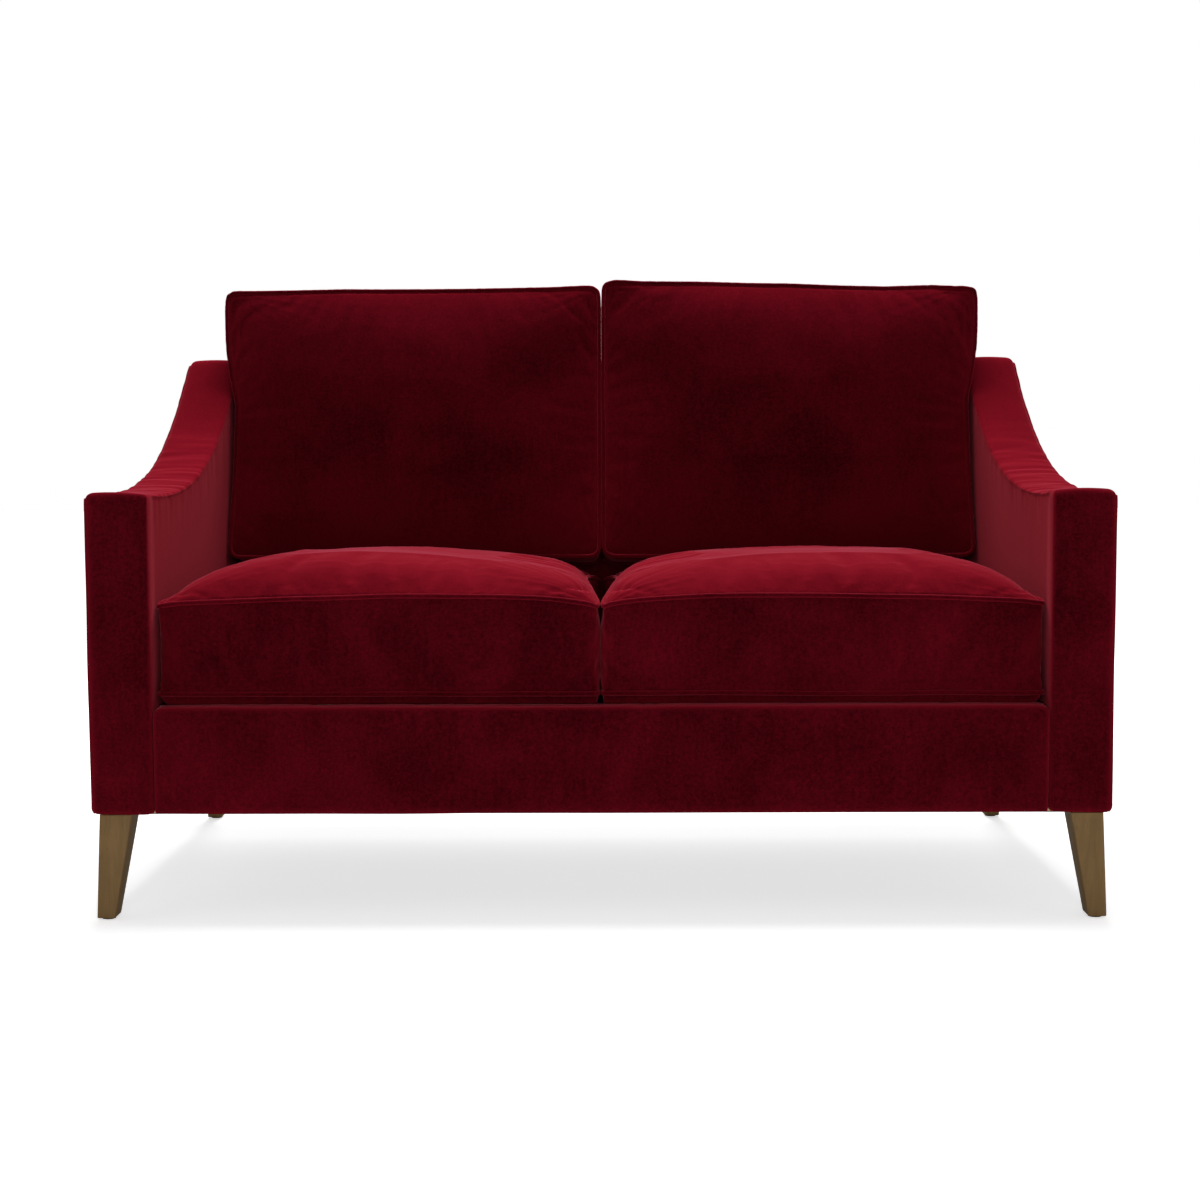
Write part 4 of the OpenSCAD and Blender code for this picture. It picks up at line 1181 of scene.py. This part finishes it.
# BACK CUSHIONS. Two loose cushions filled with fibre lean on the inside back and stand on the seat
# cushions. Each cover is piped all round and closes with a zip underneath.
for side, name, seed, length, lift in (
    (-1, "left", 21.9, 0.489, ((-1, 0.007), (0.4, 0.007), (0.7, 0.003), (0.95, 0.0))),
    (1, "right", 35.2, 0.499,
     ((-1, 0.007), (-0.5, 0.008), (0, 0.0055), (0.55, -0.0035), (0.8, -0.002), (0.95, -0.005))),
):
    back_form = {
        "half_w": 0.3268, "half_l": length / 2 - 0.0031, "border": 0.0745,
        "corner": 0.018, "slack_corner": 0.010,
        "crown": 0.0425, "belly": 0.0105, "bow": 0.0, "drop": 0.0, "dent": 0.009,
        "side_in": 0.007, "inner_in": 0.0, "low_in": 0.0, "high_in": 0.006,
        "flare": 0.017, "free_from": 0.15, "free_lean": 0.38, "lift": lift,
        "outer_fall": (0.38, 2, 7), "inner_fall": (0.38, 2, 7), "low_fall": 4, "high_fall": 4,
        "pucker": 0.0013, "creases": (0.0014, 0.0012), "zip_face": length / 2 - 0.0015,
    }
    lean = Matrix.Translation((middle_x, back_foot_y, deck_z)) @ Matrix.Rotation(math.radians(78), 4, "X")
    lean = lean @ Matrix.Translation((0, 0.1707 + length / 2, 0.0478))
    place = Matrix.Scale(side, 4, (1, 0, 0)) @ lean
    cover = filled_shell(f"back_cushion_{name}_velvet", back_form, 0.42)
    low, high = (-0.282, -length / 2 + 0.009, -0.0345), (0.282, length * 0.4525, 0.0345)
    make_cushion(
        "back", name, back_form, seed, place, -1, velvet_painted_shade_and_bounce, cover, [(2, -1, 0.0473), (1, -1, length / 2)],
        ("front", "rear"), ("fibre", low, high, 0.02), "filling",
    )

# LEGS. Four tapered legs of stained hardwood, splayed outwards, the rear pair kicked back too. Each
# is bolted up into the frame and stands on a nylon glide pinned into its foot.
grain, inlet, outlet = node_group("timber_grain", {
    "Pale": (0.3, 0.2, 0.1, 1), "Dark": (0.15, 0.1, 0.05, 1), "Run": (60.0, 60.0, 4.0), "Pores": 0.35})
place = object_place(grain)
along = add_stretch(grain, place, inlet.outputs["Run"])
figure = add_noise(grain, along, 0.55, 3, 0.6, 0.5)
rings = add_math(grain, "SINE", add_math(grain, "MULTIPLY", figure, 34.0))
bands = add_math(grain, "ADD", add_math(grain, "MULTIPLY", rings, 0.22), 0.5)
fine = add_noise(grain, add_stretch(grain, along, (5, 5, 5)), 1.0, 3, 0.7)
blotch = add_noise(grain, place, 14, 2)
share = add_sum(grain, (bands, 0.45, 0), (fine, 0.45, 0), (blotch, 0.8, 0.5), held=True)
pores = add_math(grain, "MULTIPLY", add_math(grain, "GREATER_THAN", fine, 0.62), inlet.outputs["Pores"])
share = add_math(grain, "SUBTRACT", share, pores, True)
give(grain, outlet, share, inlet, "Dark", "Pale", add_math(grain, "SUBTRACT", fine, pores))


def timber(name, pale, dark, run, roughness):
    """A timber whose grain runs along the axis with the smallest number."""
    wood, finish_node = new_material(name, roughness, Specular_IOR_Level=0.25)
    coloured_by(wood, finish_node, grain, 0.0003, 0.5, Pale=(*pale, 1), Dark=(*dark, 1), Run=run)
    return wood


leg_wood = timber("stained_hardwood", (0.225, 0.134, 0.048), (0.120, 0.066, 0.020), (70.0, 70.0, 5.0), 0.62)
for row, low_y, foot_y in (("front", -0.420, (-0.420, -0.385)), ("rear", 0.310, (0.360, 0.395))):
    leg = add_block(f"{row}_leg", (0.692, low_y, 0.003), (0.740, low_y + 0.050, foot_z))
    edit(leg)
    for v_x, x in ((0.692, 0.720), (0.740, 0.747)):
        for v_y, y in zip((low_y, low_y + 0.050), foot_y):
            at = Vector((v_x, v_y, 0.003))
            choose("VERT", lambda v: (v.co - at).length < 0.0005)
            bpy.ops.transform.translate(value=(x - v_x, y - v_y, 0))
    cut_across(2, [0.012, 0.05, 0.09, 0.13, 0.150])
    bevel(0.0016, 3, lambda e: e.calc_face_angle(0) > 1.0 and abs(e.verts[0].co.z - e.verts[1].co.z) > 0.001)
    bevel(0.0022, 2, lambda e: both(e, lambda p: p.z < 0.0031) and any(
        abs(f.normal.z) < 0.5 for f in e.link_faces))
    done()
    smooth(leg, 32)
    for side, flip in (("left", -1), ("right", 1)):
        own = copy_of(leg, f"{row}_leg_turned_{side}")
        put(own, Matrix.Scale(flip, 4, (1, 0, 0)))
        smooth(own, 32)
        dress(own, leg_wood, "frame", "leg_timber", f"{row}_leg_{side}")
    bpy.data.objects.remove(leg)


def moulded(name, colour, roughness):
    """A moulded plastic: a fine spark-eroded grain, a little paler where it has rubbed."""
    plastic, finish_node = new_material(name, roughness)
    tree = plastic.node_tree
    place = object_place(tree)
    rub = add_noise(tree, place, 130, 3, 0.6)
    pale = tuple(min(1.0, c * 1.9 + 0.01) for c in colour)
    tree.links.new(add_blend(tree, rub, (*colour, 1), (*pale, 1)), finish_node.inputs["Base Color"])
    bump_from(plastic, finish_node, add_noise(tree, place, 1800, 2), 0.0001, 0.4)
    return plastic


def carry(material, *names):
    """Gives frame nodes that keep their own shape their finish."""
    for name in names:
        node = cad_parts[name]
        if not node.material_slots:
            node.data.materials.append(material)
        for slot in node.material_slots:
            slot.material = material


carry(moulded("brown_nylon", (0.060, 0.036, 0.016), 0.45), "foot_glides")
carry(moulded("black_nylon", (0.020, 0.020, 0.021), 0.45), "spring_clips")

# DUST COVER. Black cambric closes the underside: its edges are turned in and held with wire
# staples to the rails.
cambric, finish_node = new_material("black_cambric", 0.95, Specular_IOR_Level=0.15)
tree = cambric.node_tree
place = object_place(tree)
fibres = add_noise(tree, add_stretch(tree, place, (900, 300, 300)), 1.0, 4, 0.8, 1.5)
black = add_blend(tree, fibres, (0.006, 0.006, 0.007, 1), (0.034, 0.034, 0.036, 1))
tree.links.new(black, finish_node.inputs["Base Color"])
bump_from(cambric, finish_node, fibres, 0.0004)

rear_y = outside_back(foot_z) - 0.006
cover = add_block("dust_cover_cloth", (-0.738, -0.409, 0.1583), (0.738, rear_y, 0.1599))
edit(cover)
drop_faces(lambda f: f.normal.z > -0.9)
cut_across(0, between(-0.738, 0.738, 0.018)[1:-1])
cut_across(1, between(-0.409, rear_y, 0.018)[1:-1])
done()


def cambric_slack(p, n):
    """Pulled tight at its staples, slack by a few millimetres in the middle and rippled at its rim."""
    rim = min(0.738 - abs(p.x), p.y + 0.409, rear_y - p.y)
    middle = clamp((rim - 0.07) / 0.15)
    ripple = waver(p.x * 26, p.y * 26, 3)
    return 0.0030 * middle + 0.0009 * middle * waver(p.x * 9, p.y * 9, 1) + (
        0.0003 * ripple * math.exp(-abs(rim - 0.02) / 0.02)
    )


press(cover, cambric_slack)
finish(cover, ("SOLIDIFY", {"thickness": 0.0008, "offset": 1}))
smooth(cover)
dress(cover, cambric, "frame", "dust_cloth", "dust_cover")


def plated(name, colour, roughness, pits):
    """Plated or drawn steel: rolled streaks, small dull spots and a fine roughness."""
    steel, finish_node = new_material(name, roughness)
    tree = steel.node_tree
    finish_node.inputs["Metallic"].default_value = 1
    place = object_place(tree)
    spots = add_noise(tree, place, pits, 3, 0.6)
    dull = tuple(c * 0.55 for c in colour)
    tree.links.new(add_blend(tree, spots, (*dull, 1), (*colour, 1)), finish_node.inputs["Base Color"])
    rough = add_math(tree, "ADD", add_math(tree, "MULTIPLY", spots, 0.25), roughness - 0.12)
    tree.links.new(rough, finish_node.inputs["Roughness"])
    bump_from(steel, finish_node, add_noise(tree, place, 2400, 2), 0.00008, 0.5)
    return steel


zinc = plated("zinc_plated_steel", (0.60, 0.60, 0.61), 0.38, 160)
staple = add_block("dust_cover_staples", (-0.0050, -0.0005, 0.15755), (0.0050, 0.0005, 0.15805))
edit(staple)
choose("FACE", lambda f: abs(f.normal.x) > 0.9)
bpy.ops.mesh.inset(thickness=0.0001)
bpy.ops.transform.translate(value=(0, 0, 0.0003))
bevel(0.00012, 1, lambda e: e.calc_face_angle(0) > 1.2 and abs(e.verts[0].co.x - e.verts[1].co.x) > 0.001)
done()
rows = [(x, y, 0.0) for x in between(-0.66, 0.66, 0.046) for y in (-0.4005, rear_y - 0.0085)]
rows += [(x, y, math.pi / 2) for y in between(-0.345, 0.285, 0.046) for x in (-0.7295, 0.7295)]
staples = []
for i, (x, y, turn) in enumerate(rows):
    own = copy_of(staple, f"staple_{i}")
    askew = 0.16 * waver(i * 1.7, 0.5, 0.5)
    own.data.transform(Matrix.Translation((x, y, 0)) @ Matrix.Rotation(turn + askew, 4, "Z"))
    staples.append(own)
alone(staples[0])
for own in staples[1:]:
    own.select_set(True)
bpy.ops.object.join()
row = bpy.context.object
bpy.data.objects.remove(staple)
row.name = row.data.name = "dust_cover_staples"
smooth(row, 30)
dress(row, zinc, "frame", "plated_steel")

# BACK WEBBING. Eight straps of woven elastic webbing, 50 mm wide, run from the tuck rail to the top
# rail behind the padding and are stapled at both ends.
web_cloth, finish_node = new_material("elastic_webbing", 0.9, Specular_IOR_Level=0.25)
tree = web_cloth.node_tree
made = use_group(web_cloth, weave, Light=(0.36, 0.28, 0.18, 1), Dark=(0.13, 0.10, 0.065, 1), Thread=2600.0)
across = add_math(tree, "MULTIPLY", add_axes(tree, object_place(tree))[0], 2 * math.pi / 0.0235)
stripe = add_math(tree, "GREATER_THAN", add_math(tree, "COSINE", across), 0.82)
striped = add_blend(tree, stripe, made.outputs["Color"], (0.05, 0.012, 0.012, 1))
tree.links.new(striped, finish_node.inputs["Base Color"])
bump_from(web_cloth, finish_node, made.outputs["Height"], 0.0005)
levels = between(0.3185, 0.8425, 0.021)
for i in range(8):
    middle = (i - 3.5) * 0.1645
    low, high = (middle - 0.025, 0.0, 0.3185), (middle + 0.025, 0.0018, 0.8425)
    strap = add_block(f"back_webbing_{i + 1}", low, high)
    edit(strap)
    cut_across(2, levels[1:-1])
    cut_across(0, [middle - 0.0235, middle - 0.012, middle, middle + 0.012, middle + 0.0235])
    done()
    for v in strap.data.vertices:
        cup = 0.0004 * (1 - ((v.co.x - middle) / 0.025) ** 2)
        sway = 0.0006 * waver(i * 3.1, v.co.z * 7, 0.5)
        v.co.y += inside_back(v.co.z) + 0.0321 + cup
        v.co.x += sway
    smooth(strap, 60)
    dress(strap, web_cloth, "frame", "webbing", "back_webbing")

# FRAME. Rails, posts and stile of pine, arm boards of birch plywood, beech dowels, zigzag springs
# and zinc-plated leg bolts. They keep the shapes of the frame and stay out of sight.
pale, dark = (0.62, 0.44, 0.25), (0.40, 0.25, 0.12)
carry(timber("pine_across", pale, dark, (4.0, 60.0, 60.0), 0.65), "front_seat_rail", "rear_seat_rail",
      "back_top_rail", "back_tuck_rail")
carry(timber("pine_deep", pale, dark, (60.0, 4.0, 60.0), 0.65), "side_seat_rail_left", "side_seat_rail_right",
      "centre_seat_rail")
carry(timber("pine_upright", pale, dark, (60.0, 60.0, 4.0), 0.65), "arm_front_post_left",
      "arm_front_post_right", "rear_post_left", "rear_post_right", "back_centre_stile", "leg_blocks")
carry(timber("birch_plywood", (0.70, 0.55, 0.37), (0.50, 0.36, 0.21), (900.0, 5.0, 40.0), 0.6),
      "arm_inner_board_left", "arm_inner_board_right", "arm_outer_board_left", "arm_outer_board_right")
carry(timber("beech_dowel", (0.66, 0.46, 0.30), (0.48, 0.30, 0.18), (5.0, 80.0, 80.0), 0.55), "frame_dowels")
carry(plated("spring_wire", (0.20, 0.20, 0.21), 0.42, 90), "seat_springs")
carry(zinc, "leg_bolts", "leg_insert_nuts")
carry(moulded("claret_enamel", (0.050, 0.003, 0.007), 0.7), "seat_zip_slider_left", "seat_zip_slider_right",
      "back_zip_slider_left", "back_zip_slider_right")
